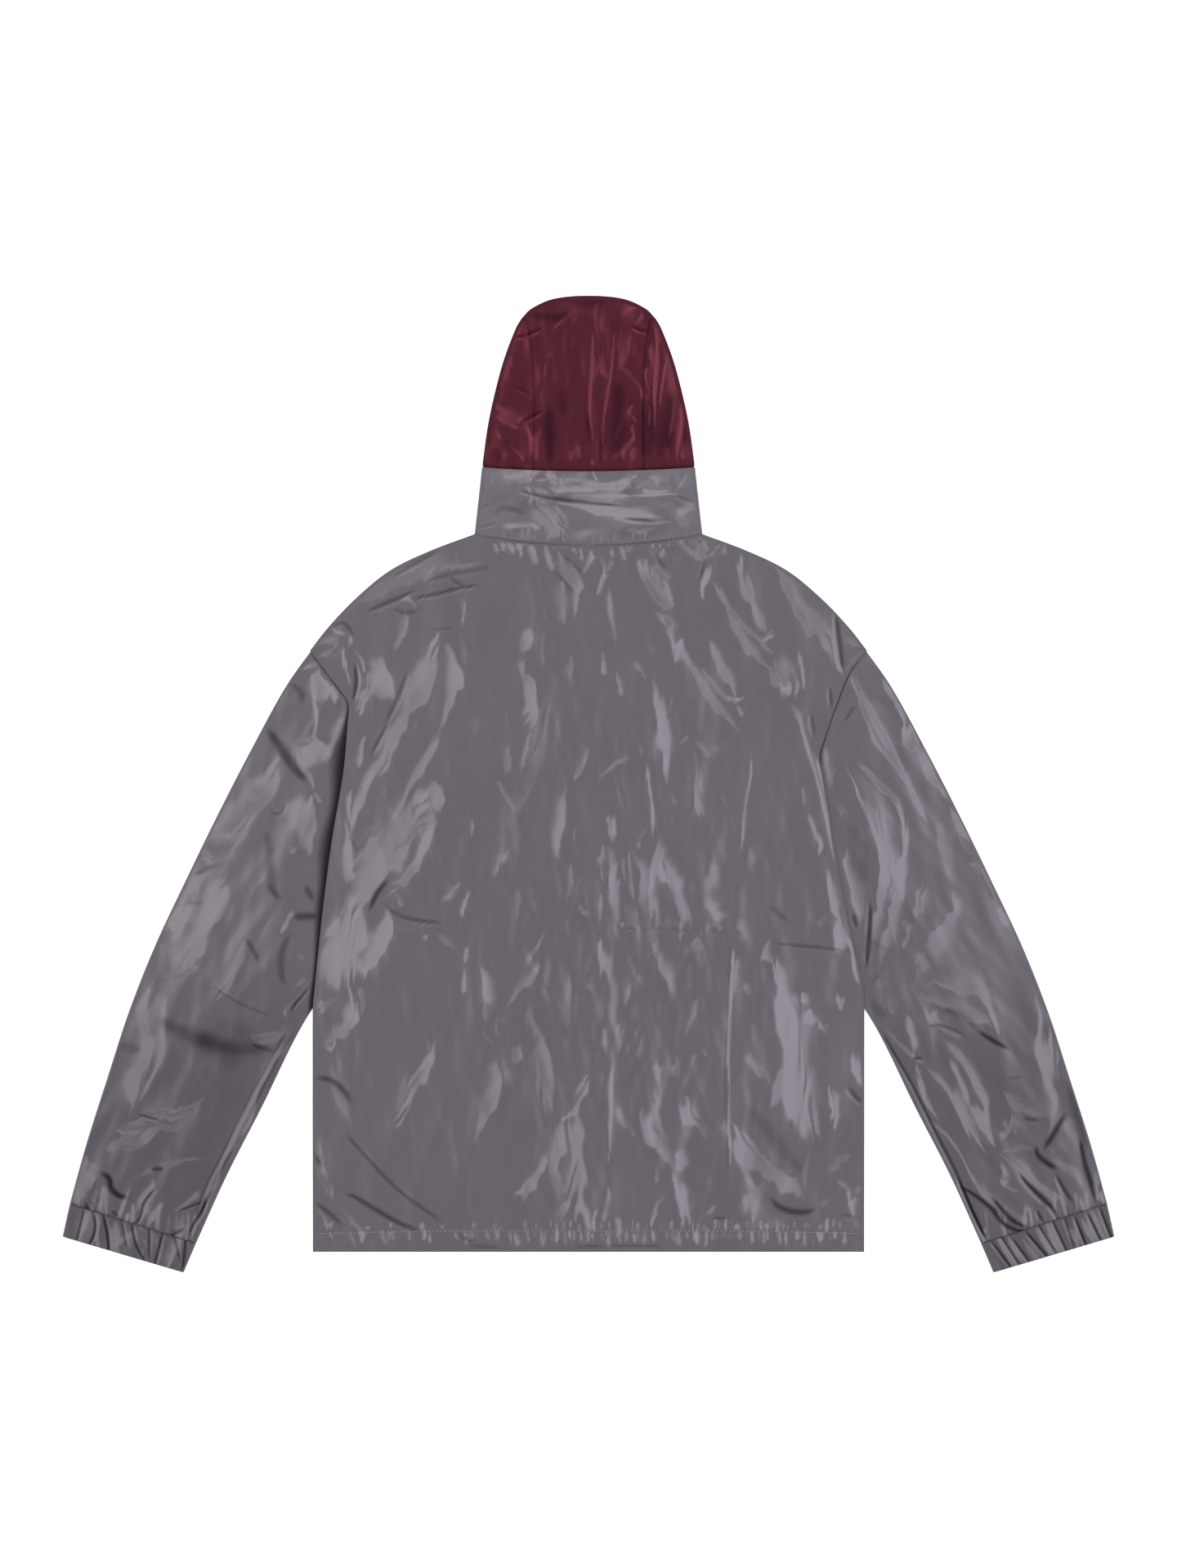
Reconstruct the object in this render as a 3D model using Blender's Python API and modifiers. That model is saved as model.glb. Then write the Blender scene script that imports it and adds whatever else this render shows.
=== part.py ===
"""Hooded windbreaker laid out flat, face down, so that its back shows.

Metres, +Z up. The origin is on the floor under the middle of the garment, +Y runs from the hem
to the hood and +X to the wearer's right sleeve. Every piece is a thin wall of cloth: the fronts,
the sleeves' lower sides, the front of the collar and the turned-under edge of the hood lie flat
on the floor at Z = 0, and the back lies on them.

The outline is the same on both sides of the centre line, so outline tables hold one side only:
"out" is the distance from the centre line and "up" is Y.
"""

import math
from collections import namedtuple

import bmesh
import bpy

Edge = namedtuple("Edge", "out up")
Fold = namedtuple("Fold", "x0 y0 x1 y1 height spread")

# Cloth and seams
CLOTH = 0.0010  # wall of the shell cloth
HEM_CLOTH = 0.0016  # wall of the turned-up hem
SEAM = 0.0003  # gap between two sewn pieces
LAP = CLOTH + SEAM  # underside of a piece that lies on a piece on the floor

# Body
HALF_HEM = 0.2801
HEM_Y = -0.4756
HEM_DEPTH = 0.021
BACK_LEVEL = 0.0046  # underside of the back, away from its edges
EDGE_RISE = 0.055  # the back comes down to its edges over this distance
NECK_OUT = 0.1158
NECK_CORNER_Y = 0.2540
NECK_BACK_Y = 0.2424
NECK_FRONT_Y = 0.1920
NECK_BACK_LEVEL = 0.0050  # underside of the back at the middle of the neck seam
NECK_CORNER_LEVEL = 0.0020
NECK_SHARE = 9 / 26  # share of the back's columns on each shoulder

SHOULDER = [
    Edge(0.1158, 0.2540),
    Edge(0.1602, 0.2374),
    Edge(0.2009, 0.2175),
    Edge(0.2374, 0.1876),
    Edge(0.2656, 0.1577),
    Edge(0.2830, 0.1353),
]
# Side of the back: up the side seam, along the fold that lies over the sleeve, up the armhole seam
BACK_SIDE = {
    -1: [
        Edge(0.2801, -0.4756),
        Edge(0.2801, -0.2324),
        Edge(0.2781, -0.2067),
        Edge(0.2698, -0.1270),
        Edge(0.2602, -0.0540),
        Edge(0.2490, 0.0125),
        Edge(0.2432, 0.0805),
        Edge(0.2830, 0.1353),
    ],
    1: [
        Edge(0.2801, -0.4756),
        Edge(0.2801, -0.2324),
        Edge(0.2789, -0.2067),
        Edge(0.2631, -0.1336),
        Edge(0.2507, -0.0697),
        Edge(0.2349, 0.0282),
        Edge(0.2656, 0.1121),
        Edge(0.2830, 0.1353),
    ],
}
BACK_FOLDS = [
    Fold(-0.150, 0.120, -0.235, -0.150, 0.0050, 0.040),
    Fold(-0.062, 0.150, -0.056, 0.030, 0.0030, 0.030),
    Fold(0.030, 0.200, 0.075, 0.110, 0.0035, 0.032),
    Fold(0.105, 0.215, 0.160, 0.080, 0.0045, 0.034),
    Fold(0.175, 0.180, 0.215, 0.080, 0.0045, 0.032),
    Fold(0.070, 0.110, 0.085, -0.010, 0.0030, 0.028),
    Fold(-0.225, -0.145, 0.160, -0.150, 0.0025, 0.030),
    Fold(0.190, -0.180, 0.225, -0.390, 0.0045, 0.036),
    Fold(-0.030, -0.250, 0.010, -0.430, 0.0035, 0.032),
    Fold(0.110, -0.230, 0.075, -0.420, 0.0035, 0.034),
    Fold(-0.250, -0.180, -0.200, -0.330, 0.0040, 0.034),
    Fold(-0.245, -0.020, -0.262, -0.200, 0.0050, 0.030),
    Fold(0.232, 0.010, 0.258, -0.190, 0.0050, 0.030),
]

# Fronts
ZIP_GAP = 0.005  # from the centre line to the edge of each front
FRONT_CLEAR = 0.0006  # from the fronts to the sleeves beside them
FRONT_NECK = [
    Edge(0.0050, 0.1920),
    Edge(0.0160, 0.1927),
    Edge(0.0360, 0.1965),
    Edge(0.0700, 0.2105),
    Edge(0.1158, 0.2537),
]
FRONT_SHOULDER_COLUMNS = 4

# Sleeves
SLEEVE_PRESSED = 0.0031  # height of the sleeve where the back lies on it
SLEEVE_EDGE = 0.0050  # height at its folded edges, clear of the back
SLEEVE_CROWN = 0.0008  # and how much more along its middle
SLEEVE_CLEAR = 0.004  # the sleeve starts to rise this far outside the back
SLEEVE_RISE = 0.045
SLEEVE_GATHERS = 7
GATHER_REACH = 0.075  # share of the sleeve over which the gathers above the cuff die out
GATHER_HEIGHT = 0.0024
SLEEVE_OUTER = [
    Edge(0.2747, 0.1453),
    Edge(0.3071, 0.0996),
    Edge(0.3436, 0.0332),
    Edge(0.3777, -0.0332),
    Edge(0.4100, -0.0996),
    Edge(0.4411, -0.1660),
    Edge(0.4673, -0.2324),
    Edge(0.4889, -0.2988),
    Edge(0.5100, -0.3652),
    Edge(0.5268, -0.4258),
]
SLEEVE_INNER = [
    Edge(0.2100, -0.1500),
    Edge(0.2440, -0.1900),
    Edge(0.2830, -0.2324),
    Edge(0.3337, -0.3320),
    Edge(0.3677, -0.3984),
    Edge(0.3986, -0.4665),
]
# Armhole, from the underarm to the shoulder
SLEEVE_CAP = [
    Edge(0.2100, -0.1500),
    Edge(0.2070, -0.1000),
    Edge(0.2080, -0.0500),
    Edge(0.2110, 0.0000),
    Edge(0.2200, 0.0600),
    Edge(0.2400, 0.1040),
    Edge(0.2747, 0.1453),
]
SLEEVE_FOLDS = {
    -1: [
        Fold(-0.305, 0.060, -0.420, -0.170, 0.0045, 0.034),
        Fold(-0.290, 0.010, -0.300, -0.090, 0.0040, 0.028),
        Fold(-0.455, -0.215, -0.490, -0.330, 0.0040, 0.030),
        Fold(-0.330, -0.225, -0.385, -0.330, 0.0045, 0.034),
        Fold(-0.430, -0.330, -0.470, -0.420, 0.0035, 0.028),
    ],
    1: [
        Fold(0.300, 0.080, 0.350, -0.040, 0.0045, 0.030),
        Fold(0.290, -0.010, 0.310, -0.170, 0.0040, 0.030),
        Fold(0.340, -0.190, 0.430, -0.270, 0.0050, 0.034),
        Fold(0.395, -0.300, 0.425, -0.410, 0.0050, 0.030),
        Fold(0.475, -0.290, 0.505, -0.420, 0.0045, 0.028),
    ],
}

# Cuffs
CUFF_OUTER_END = Edge(0.5343, -0.4598)
CUFF_INNER_END = Edge(0.4113, -0.4963)
CUFF_EDGE = 0.0050
CUFF_GATHERS = 10
CUFF_GATHER_HEIGHT = 0.0016

# Collar
COLLAR_TOP_OUT = 0.1083
COLLAR_TOP_Y = 0.3212
COLLAR_TOP_DIP = 0.0041  # the top edge sags by this much at its middle
COLLAR_NECK_EDGE = 0.0032  # height at the side folds and in the middle, at the neck seam
COLLAR_NECK_MIDDLE = NECK_BACK_LEVEL + CLOTH
COLLAR_TOP_EDGE = 0.0092  # and along the top
COLLAR_TOP_MIDDLE = 0.0106
COLLAR_ROWS = 10
COLLAR_FOLDS = [
    Fold(-0.070, 0.300, 0.090, 0.283, 0.0026, 0.020),
    Fold(-0.095, 0.275, -0.030, 0.268, 0.0022, 0.018),
]

# Hood
HOOD_TUCK_Y = 0.3096  # lower edge, inside the collar
HOOD_EDGE = 0.0055  # height of its fold, where it lies on the floor
HOOD_LEVEL = 0.0060  # top of the hood away from its folds
HOOD_TUCK_TOP = 0.0072
HOOD_RAMP = (0.3250, 0.3480)  # it comes down from the collar to the floor between these Y
HOOD_SIDE = [
    Edge(0.1046, 0.3096),
    Edge(0.1055, 0.3220),
    Edge(0.1071, 0.3320),
    Edge(0.1021, 0.3652),
    Edge(0.0950, 0.3984),
    Edge(0.0859, 0.4316),
    Edge(0.0739, 0.4631),
    Edge(0.0681, 0.4731),
]
HOOD_DOME = [
    Edge(0.0681, 0.4731),
    Edge(0.0581, 0.4831),
    Edge(0.0357, 0.4930),
    Edge(0.0, 0.4963),
]
HOOD_SEAM = [
    Edge(0.0564, 0.3096),
    Edge(0.0556, 0.3652),
    Edge(0.0556, 0.3984),
    Edge(0.0581, 0.4399),
    Edge(0.0623, 0.4706),
]
# Edge of the face opening, which is underneath: beside the face and above the forehead
FACE_SIDE = [
    Edge(0.0498, 0.3096),
    Edge(0.0515, 0.3652),
    Edge(0.0481, 0.4067),
    Edge(0.0398, 0.4316),
]
FACE_TOP_MIDDLE_Y = 0.4441
HOOD_BROW = 0.008  # the last row of the centre panel before its fold is this far from it
HOOD_JOIN = 0.0006  # gap between the side and the centre panel where they turn under
HOOD_FOLDS = [
    Fold(0.012, 0.480, 0.020, 0.345, 0.0030, 0.020),
    Fold(-0.030, 0.430, -0.020, 0.350, 0.0020, 0.022),
    Fold(-0.085, 0.400, -0.078, 0.350, 0.0030, 0.018),
    Fold(0.078, 0.440, 0.088, 0.350, 0.0030, 0.018),
]

# Zip
TAPE_IN = 0.0015
TAPE_OUT = 0.0140
TAPE_CLOTH = 0.0010
TAPE_END = 0.004  # the tape stops this far short of the turned hem and of the collar's top
ZIP_LIFT = 0.0040  # the slider holds the front of the collar this far off the floor
LIFT_Y = (0.276, 0.303)  # full lift between these, fading over LIFT_FADE
LIFT_FADE = 0.022
LIFT_OUT = (0.016, 0.036)  # and fading out sideways between these
SLIDER_Y = 0.2960
SLIDER_SIZE = (0.0085, 0.0120, 0.0014)  # each plate
SLIDER_POST = (0.0020, 0.0050)
EAR_SIZE = (0.0010, 0.0026)  # thickness and length of the ears that hold the pin
EAR_IN = 0.0016
EAR_BELOW_PIN = 0.0010
PIN_DROP = 0.0019  # pin's centre below the lower plate
PIN_RADIUS = 0.0006
EYE_RADIUS = 0.0015
EYE_BORE = 0.00068
EYE_WIDTH = 0.0026
TAB_SIZE = (0.0060, 0.0220, 0.0014)
TAB_START = 0.0023  # the tab's wide part starts this far from the pin
TAB_HOLE = 0.0015

# Linear base colour, roughness and metallic value of each material
MATERIALS = {
    "shell_satin": ((0.135, 0.121, 0.135), 0.38, 0.0),
    "hood_satin": ((0.088, 0.015, 0.025), 0.36, 0.0),
    "zip_tape": ((0.060, 0.055, 0.062), 0.80, 0.0),
    "zip_metal": ((0.330, 0.320, 0.330), 0.32, 1.0),
}


def smooth(low, high, value):
    """0 below low, 1 above high and an even S between them."""
    share = min(1.0, max(0.0, (value - low) / (high - low)))
    return share * share * (3 - 2 * share)


def blend(a, b, share):
    """The point that share of the way from a to b."""
    return tuple(p + (q - p) * share for p, q in zip(a, b))


def through(rows):
    """Smooth curve through the rows, as a function of the share of its length."""
    rows = [tuple(row) for row in rows]
    along = [0.0]
    for a, b in zip(rows, rows[1:]):
        along.append(along[-1] + math.dist(a, b))

    def slope(index):
        before, after = max(index - 1, 0), min(index + 1, len(rows) - 1)
        span = along[after] - along[before]
        return tuple((q - p) / span for p, q in zip(rows[before], rows[after]))

    def at(share):
        reach = min(max(share, 0.0), 1.0) * along[-1]
        index = max(i for i in range(len(rows) - 1) if along[i] <= reach + 1e-12)
        span = along[index + 1] - along[index]
        s = (reach - along[index]) / span
        ends = zip(rows[index], rows[index + 1], slope(index), slope(index + 1))
        return tuple(
            (1 + 2 * s) * (1 - s) ** 2 * a
            + s * s * (3 - 2 * s) * b
            + s * (1 - s) * ((1 - s) * da - s * db) * span
            for a, b, da, db in ends
        )

    return at


def patch(u, v, south, north, west, east):
    """Point of the surface that four edge curves span: south and north run with u, west and east with v."""
    corners = (south(0), south(1), north(0), north(1))
    return tuple(
        (1 - v) * s + v * n + (1 - u) * w + u * e
        - ((1 - u) * (1 - v) * c00 + u * (1 - v) * c10 + (1 - u) * v * c01 + u * v * c11)
        for s, n, w, e, c00, c10, c01, c11 in zip(south(u), north(u), west(v), east(v), *corners)
    )


def fold_height(folds, x, y):
    """Sum of the folds at a point: each is a ridge that falls off evenly round its line."""
    total = 0.0
    for fold in folds:
        dx, dy = fold.x1 - fold.x0, fold.y1 - fold.y0
        share = ((x - fold.x0) * dx + (y - fold.y0) * dy) / (dx * dx + dy * dy)
        share = min(1.0, max(0.0, share))
        away = math.dist((x, y), (fold.x0 + dx * share, fold.y0 + dy * share))
        total += fold.height * (1 - smooth(0, fold.spread, away))
    return total


def zip_lift(x, y):
    """How far the slider holds the cloth round it off the floor."""
    low, high = LIFT_Y
    along = smooth(low - LIFT_FADE, low, y) * (1 - smooth(high, high + LIFT_FADE, y))
    return ZIP_LIFT * along * (1 - smooth(*LIFT_OUT, abs(x)))


def collection(name):
    """New collection in the scene."""
    made = bpy.data.collections.new(name)
    bpy.context.scene.collection.children.link(made)
    return made


def material(name):
    """Principled material from the table of colours."""
    found = bpy.data.materials.get(name)
    if found:
        return found
    colour, roughness, metallic = MATERIALS[name]
    made = bpy.data.materials.new(name)
    made.use_nodes = True
    shader = made.node_tree.nodes["Principled BSDF"]
    shader.inputs["Base Color"].default_value = (*colour, 1.0)
    shader.inputs["Roughness"].default_value = roughness
    shader.inputs["Metallic"].default_value = metallic
    made.diffuse_color = (*colour, 1.0)
    return made


def new_object(name, bm, group, finish=None):
    """Object in a collection, from a bmesh that is used up."""
    mesh = bpy.data.meshes.new(name)
    bm.to_mesh(mesh)
    bm.free()
    made = bpy.data.objects.new(name, mesh)
    group.objects.link(made)
    if finish:
        mesh.materials.append(material(finish))
    return made


def cloth(name, columns, rows, place, finish, group, grows_up=False, hem=None):
    """Wall of cloth on a grid of points.

    place gives the point of a column and a row, counted from 0. The wall grows inwards from that
    surface, or upwards from it where grows_up is set. hem tells whether a row is in a turned hem.
    """
    bm = bmesh.new()
    bmesh.ops.create_grid(bm, x_segments=columns, y_segments=rows, size=1.0)
    in_hem = {}
    for vertex in bm.verts:
        column = round((vertex.co.x + 1) / 2 * columns)
        row = round((vertex.co.y + 1) / 2 * rows)
        vertex.co = place(column, row)
        in_hem[vertex.index] = bool(hem and hem(row))
    if not hem:
        bmesh.ops.remove_doubles(bm, verts=bm.verts, dist=1e-6)
    bm.normal_update()
    highest = max(bm.faces, key=lambda face: face.calc_center_median().z)
    if highest.normal.z < 0:
        bmesh.ops.reverse_faces(bm, faces=bm.faces)
    made = new_object(name, bm, group, finish)
    wall = made.modifiers.new("Wall", "SOLIDIFY")
    wall.thickness = HEM_CLOTH if hem else CLOTH
    wall.offset = 1.0 if grows_up else -1.0
    wall.use_even_offset = True
    wall.use_quality_normals = True
    if hem:
        weights = made.vertex_groups.new(name="turned_hem")
        weights.add([i for i, turned in in_hem.items() if turned], 1.0, "REPLACE")
        wall.vertex_group = weights.name
        wall.thickness_vertex_group = CLOTH / HEM_CLOTH
    made.data.shade_smooth()
    return made


def mirrored(curve, side):
    """The curve on one side of the centre line: -1 is the wearer's left, 1 the right."""
    return lambda share: (side * curve(share)[0], *curve(share)[1:])


def hem_shares(length, rows):
    """Shares of a panel's length at its rows: two close rows bound the turned hem."""
    bounds = [0.0, HEM_DEPTH / length, (HEM_DEPTH + 0.003) / length]
    rest = rows - 2
    return bounds[:2] + [bounds[2] + (1 - bounds[2]) * i / rest for i in range(rest + 1)]


def build_back(group):
    """Back: one panel, down to the floor's pieces at its sides and raised over the sleeves."""
    columns, rows = 26, 29
    shares = hem_shares(NECK_CORNER_Y - HEM_Y, rows)
    shoulder = through(SHOULDER)
    sides = {side: through(BACK_SIDE[side]) for side in (-1, 1)}

    def south(u):
        return ((2 * u - 1) * HALF_HEM, HEM_Y)

    def north(u):
        side = -1 if u < 0.5 else 1
        from_end = min(u, 1 - u)
        if from_end < NECK_SHARE:
            out, up = shoulder(1 - from_end / NECK_SHARE)
            return (side * out, up)
        middle = (u - 0.5) / (0.5 - NECK_SHARE)
        return (middle * NECK_OUT, NECK_BACK_Y + (NECK_CORNER_Y - NECK_BACK_Y) * middle * middle)

    def edge_level(x, y, v):
        """Underside at the nearest edge: on the front, on the sleeve or level with the collar."""
        over_sleeve = smooth(-0.29, -0.24, y) * smooth(0.190, 0.215, abs(x))
        in_hem = 1 - smooth(HEM_DEPTH, 2 * HEM_DEPTH, y - HEM_Y)
        level = LAP + 0.0002 + (HEM_CLOTH - CLOTH) * in_hem
        level += (SLEEVE_PRESSED + SEAM - CLOTH + 0.0004) * over_sleeve
        neck = 1 - smooth(0.0, NECK_OUT, abs(x))
        at_neck = NECK_CORNER_LEVEL + (NECK_BACK_LEVEL - NECK_CORNER_LEVEL) * neck
        return level + (at_neck - level) * smooth(0.9, 1.0, v) * (1 - smooth(0.09, 0.15, abs(x)))

    def place(column, row):
        u, v = column / columns, shares[row]
        x, y = patch(u, v, south, north, mirrored(sides[-1], -1), mirrored(sides[1], 1))
        from_side = smooth(0, EDGE_RISE, 2 * min(u, 1 - u) * HALF_HEM)
        from_ends = smooth(0, EDGE_RISE, min(v, 1 - v) * (NECK_CORNER_Y - HEM_Y))
        inside = from_side * from_ends
        level = edge_level(x, y, v)
        level += (max(BACK_LEVEL, level) - level) * inside
        return (x, y, level + fold_height(BACK_FOLDS, x, y) * max(inside, 0.35 * from_ends))

    cloth("back_panel", columns, rows, place, "shell_satin", group, True, lambda row: row < 2)


def build_front(group, side):
    """Front: flat on the floor, cut away at the armhole, with its zip edge beside the centre line."""
    columns, rows = len(FRONT_NECK) - 1 + FRONT_SHOULDER_COLUMNS, 26
    shares = hem_shares(NECK_CORNER_Y - HEM_Y, rows)
    inner, cap = through(SLEEVE_INNER), through(SLEEVE_CAP)
    crotch = max(i / 100 for i in range(100) if inner(i / 100)[0] < HALF_HEM)
    beside_sleeve = [inner(crotch * (1 - i / 4)) for i in range(4)] + [cap(i / 12) for i in range(13)]
    ways = [
        (b[0] - a[0], b[1] - a[1])
        for a, b in zip([beside_sleeve[0]] + beside_sleeve, beside_sleeve[1:] + [beside_sleeve[-1]])
    ]
    outer = [
        (x - FRONT_CLEAR * dy / math.hypot(dx, dy), y + FRONT_CLEAR * dx / math.hypot(dx, dy))
        for (x, y), (dx, dy) in zip(beside_sleeve, ways)
    ]
    below = [(HALF_HEM, HEM_Y + (outer[0][1] - HEM_Y) * i / 8) for i in range(3, 8)]
    start = [(HALF_HEM, HEM_Y + share * (NECK_CORNER_Y - HEM_Y)) for share in shares[: rows - 21]]
    outer = start + below + outer
    shoulder = through([FRONT_NECK[-1]] + SHOULDER[1:-1] + [outer[-1]])
    top = FRONT_NECK + [shoulder((i + 1) / FRONT_SHOULDER_COLUMNS) for i in range(FRONT_SHOULDER_COLUMNS)]

    def place(column, row):
        x, y = patch(
            column / columns,
            shares[row],
            lambda u: (ZIP_GAP + (HALF_HEM - ZIP_GAP) * u, HEM_Y),
            lambda u: top[round(u * columns)],
            lambda v: (ZIP_GAP, HEM_Y + (NECK_FRONT_Y - HEM_Y) * v),
            lambda v: outer[row],
        )
        return (side * x, y, 0.0)

    name = "front_left" if side < 0 else "front_right"
    cloth(name, columns, rows, place, "shell_satin", group, True, lambda row: row < 2)


def flat_ring(top, arc, bottom):
    """Stations round a flattened tube, as its share across and its angle: 90 above, -90 below."""
    stations = [(i / top, 90.0) for i in range(top)]
    stations += [(1.0, 90 - 180 * i / arc) for i in range(arc)]
    stations += [(1 - i / bottom, -90.0) for i in range(bottom)]
    stations += [(0.0, -90 - 180 * i / arc) for i in range(arc)]
    return stations


def tube_place(span, across, angle, edges):
    """Distance from the first fold of a flattened tube, for half-round folds of the edges' heights."""
    first, last = (height / 2 for height in edges)
    radius = first + (last - first) * across
    return first + (span - first - last) * across + radius * math.cos(math.radians(angle))


def above(angle):
    """1 on the upper side of a flattened tube, 0 on the floor."""
    return (1 + math.sin(math.radians(angle))) / 2


def build_sleeve(group, side):
    """Sleeve: a flattened tube from the armhole to the cuff, gathered into the cuff."""
    rows = 16
    ring = flat_ring(28, 4, 4)
    outer, inner, cap = through(SLEEVE_OUTER), through(SLEEVE_INNER), through(SLEEVE_CAP)
    back_side = [(row.up, row.out) for row in BACK_SIDE[side]]

    def back_edge(y):
        """Where the side of the back lies at this Y."""
        for (y0, x0), (y1, x1) in zip(back_side, back_side[1:]):
            if y <= y1:
                return x0 + (x1 - x0) * (y - y0) / (y1 - y0)
        return back_side[-1][1]

    def plan(across, along):
        return patch(across, along, cap, lambda u: blend(inner(1), outer(1), u), inner, outer)

    def height(across, along):
        x, y = plan(across, along)
        rise = smooth(SLEEVE_CLEAR, SLEEVE_CLEAR + SLEEVE_RISE, x - back_edge(y))
        crown = SLEEVE_CROWN * math.sin(math.pi * across)
        gather = GATHER_HEIGHT * (1 - smooth(0, GATHER_REACH, 1 - along))
        wave = gather * (1 + math.cos(2 * math.pi * SLEEVE_GATHERS * across)) / 2
        folds = fold_height(SLEEVE_FOLDS[side], side * x, y) * math.sin(math.pi * across) ** 0.5
        return SLEEVE_PRESSED + rise * (SLEEVE_EDGE - SLEEVE_PRESSED + crown + folds + wave)

    def place(column, row):
        across, angle = ring[column % len(ring)]
        along = row / rows
        span = math.dist(inner(along), outer(along))
        edges = (height(0, along), height(1, along))
        x, y = plan(tube_place(span, across, angle, edges) / span, along)
        return (side * x, y, height(across, along) * above(angle))

    name = "sleeve_left" if side < 0 else "sleeve_right"
    cloth(name, len(ring), rows, place, "shell_satin", group)


def build_cuff(group, side):
    """Cuff: an elastic band, flat below and gathered above."""
    rows = 3
    ring = flat_ring(CUFF_GATHERS * 4, 4, 4)
    start = (SLEEVE_INNER[-1], SLEEVE_OUTER[-1])
    end = (CUFF_INNER_END, CUFF_OUTER_END)
    gap = SEAM / math.dist(start[0], end[0])

    def place(column, row):
        across, angle = ring[column % len(ring)]
        along = gap + (1 - gap) * row / rows
        inner, outer = (blend(a, b, along) for a, b in zip(start, end))
        span = math.dist(inner, outer)
        x, y = blend(inner, outer, tube_place(span, across, angle, (CUFF_EDGE, CUFF_EDGE)) / span)
        slant = across + 0.06 * (along - 0.5)
        wave = CUFF_GATHER_HEIGHT * math.cos(2 * math.pi * CUFF_GATHERS * slant)
        wave *= math.sin(math.pi * across) ** 0.5
        return (side * x, y, (CUFF_EDGE + wave) * above(angle))

    name = "cuff_left" if side < 0 else "cuff_right"
    cloth(name, len(ring), rows, place, "shell_satin", group)


def front_neck_y(out):
    """Y of the neck seam on the fronts, straight between the rows of its table."""
    for a, b in zip(FRONT_NECK, FRONT_NECK[1:]):
        if out <= b.out:
            return a.up + (b.up - a.up) * (out - a.out) / (b.out - a.out)
    return FRONT_NECK[-1].up


def front_of_collar_y(share):
    """Y of a row of the collar at the zip."""
    top = COLLAR_TOP_Y - COLLAR_TOP_DIP
    return NECK_FRONT_Y + SEAM + (top - NECK_FRONT_Y - SEAM) * share


def build_collar(group):
    """Collar: a band folded flat at both sides, open at the front where the zip closes it."""
    arc, top = 4, 20
    upper = [(i / top, 90.0) for i in range(top)]
    left_fold = [(0.0, -90 - 180 * i / arc) for i in range(arc)]
    right_fold = [(1.0, 90 - 180 * i / arc) for i in range(arc + 1)]
    fronts = [(row.out, -90.0) for row in FRONT_NECK[:-1]]
    columns = fronts + left_fold + upper + right_fold + fronts[::-1]

    def sizes(row):
        v = row / COLLAR_ROWS
        half = NECK_OUT + (COLLAR_TOP_OUT - NECK_OUT) * v
        edge = COLLAR_NECK_EDGE + (COLLAR_TOP_EDGE - COLLAR_NECK_EDGE) * v**0.7
        middle = COLLAR_NECK_MIDDLE + (COLLAR_TOP_MIDDLE - COLLAR_NECK_MIDDLE) * v**0.5
        return v, half, edge, middle

    def place(column, row):
        v, half, edge, middle = sizes(row)
        across, angle = columns[column]
        on_front = angle == -90.0 and 0.0 < across < 1.0
        if on_front:
            x = -across if column < len(fronts) else across
        else:
            x = tube_place(2 * half, across, angle, (edge, edge)) - half
        inwards = 1 - (x / half) ** 2
        seam_back = NECK_CORNER_Y + (NECK_BACK_Y - NECK_CORNER_Y) * inwards + SEAM
        seam_front = front_neck_y(abs(x)) + SEAM
        seam_y = seam_front + (seam_back - seam_front) * above(angle)
        y = seam_y + (COLLAR_TOP_Y - COLLAR_TOP_DIP * inwards - seam_y) * v
        if on_front:
            return (x, y, zip_lift(x, y))
        level = edge + (middle - edge) * smooth(0.0, 1.0, inwards)
        folds = fold_height(COLLAR_FOLDS, x, y) * math.sin(math.pi * v)
        return (x, y, (level + folds) * above(angle))

    cloth("collar", len(columns) - 1, COLLAR_ROWS, place, "shell_satin", group)


def hood_floor(y):
    """Underside of the hood's turned-under edge: on the floor, or on the front of the collar."""
    return LAP * (1 - smooth(*HOOD_RAMP, y))


def hood_top(x, y):
    """Upper face of the hood away from its folds."""
    near_collar = 1 - smooth(*HOOD_RAMP, y)
    level = HOOD_LEVEL + (HOOD_TUCK_TOP - HOOD_LEVEL) * near_collar
    return level + fold_height(HOOD_FOLDS, x, y) * (1 - near_collar)


def hood_fold(outline, under):
    """Direction out of a fold from the edge of the face opening, the fold's radius and its middle."""
    length = math.dist(outline, under)
    way = tuple((q - p) / length for p, q in zip(under, outline))
    floor = hood_floor(outline[1])
    radius = (HOOD_EDGE + (HOOD_TUCK_TOP - HOOD_EDGE) * floor / LAP - floor) / 2
    return way, radius, tuple(q - w * radius for q, w in zip(outline, way))


def hood_point(flat, way, radius, angle, share_from_fold):
    """Point of the hood at a plan position, on its upper side, round its fold or underneath."""
    turn = math.radians(angle)
    x, y = (p + w * radius * math.cos(turn) for p, w in zip(flat, way))
    floor = hood_floor(y)
    if angle > -90:
        top = floor + 2 * radius
        top += (max(hood_top(x, y), top) - top) * smooth(0, 1, share_from_fold)
        return (x, y, floor + (top - floor) * above(angle))
    return (x, y, floor)


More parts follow.
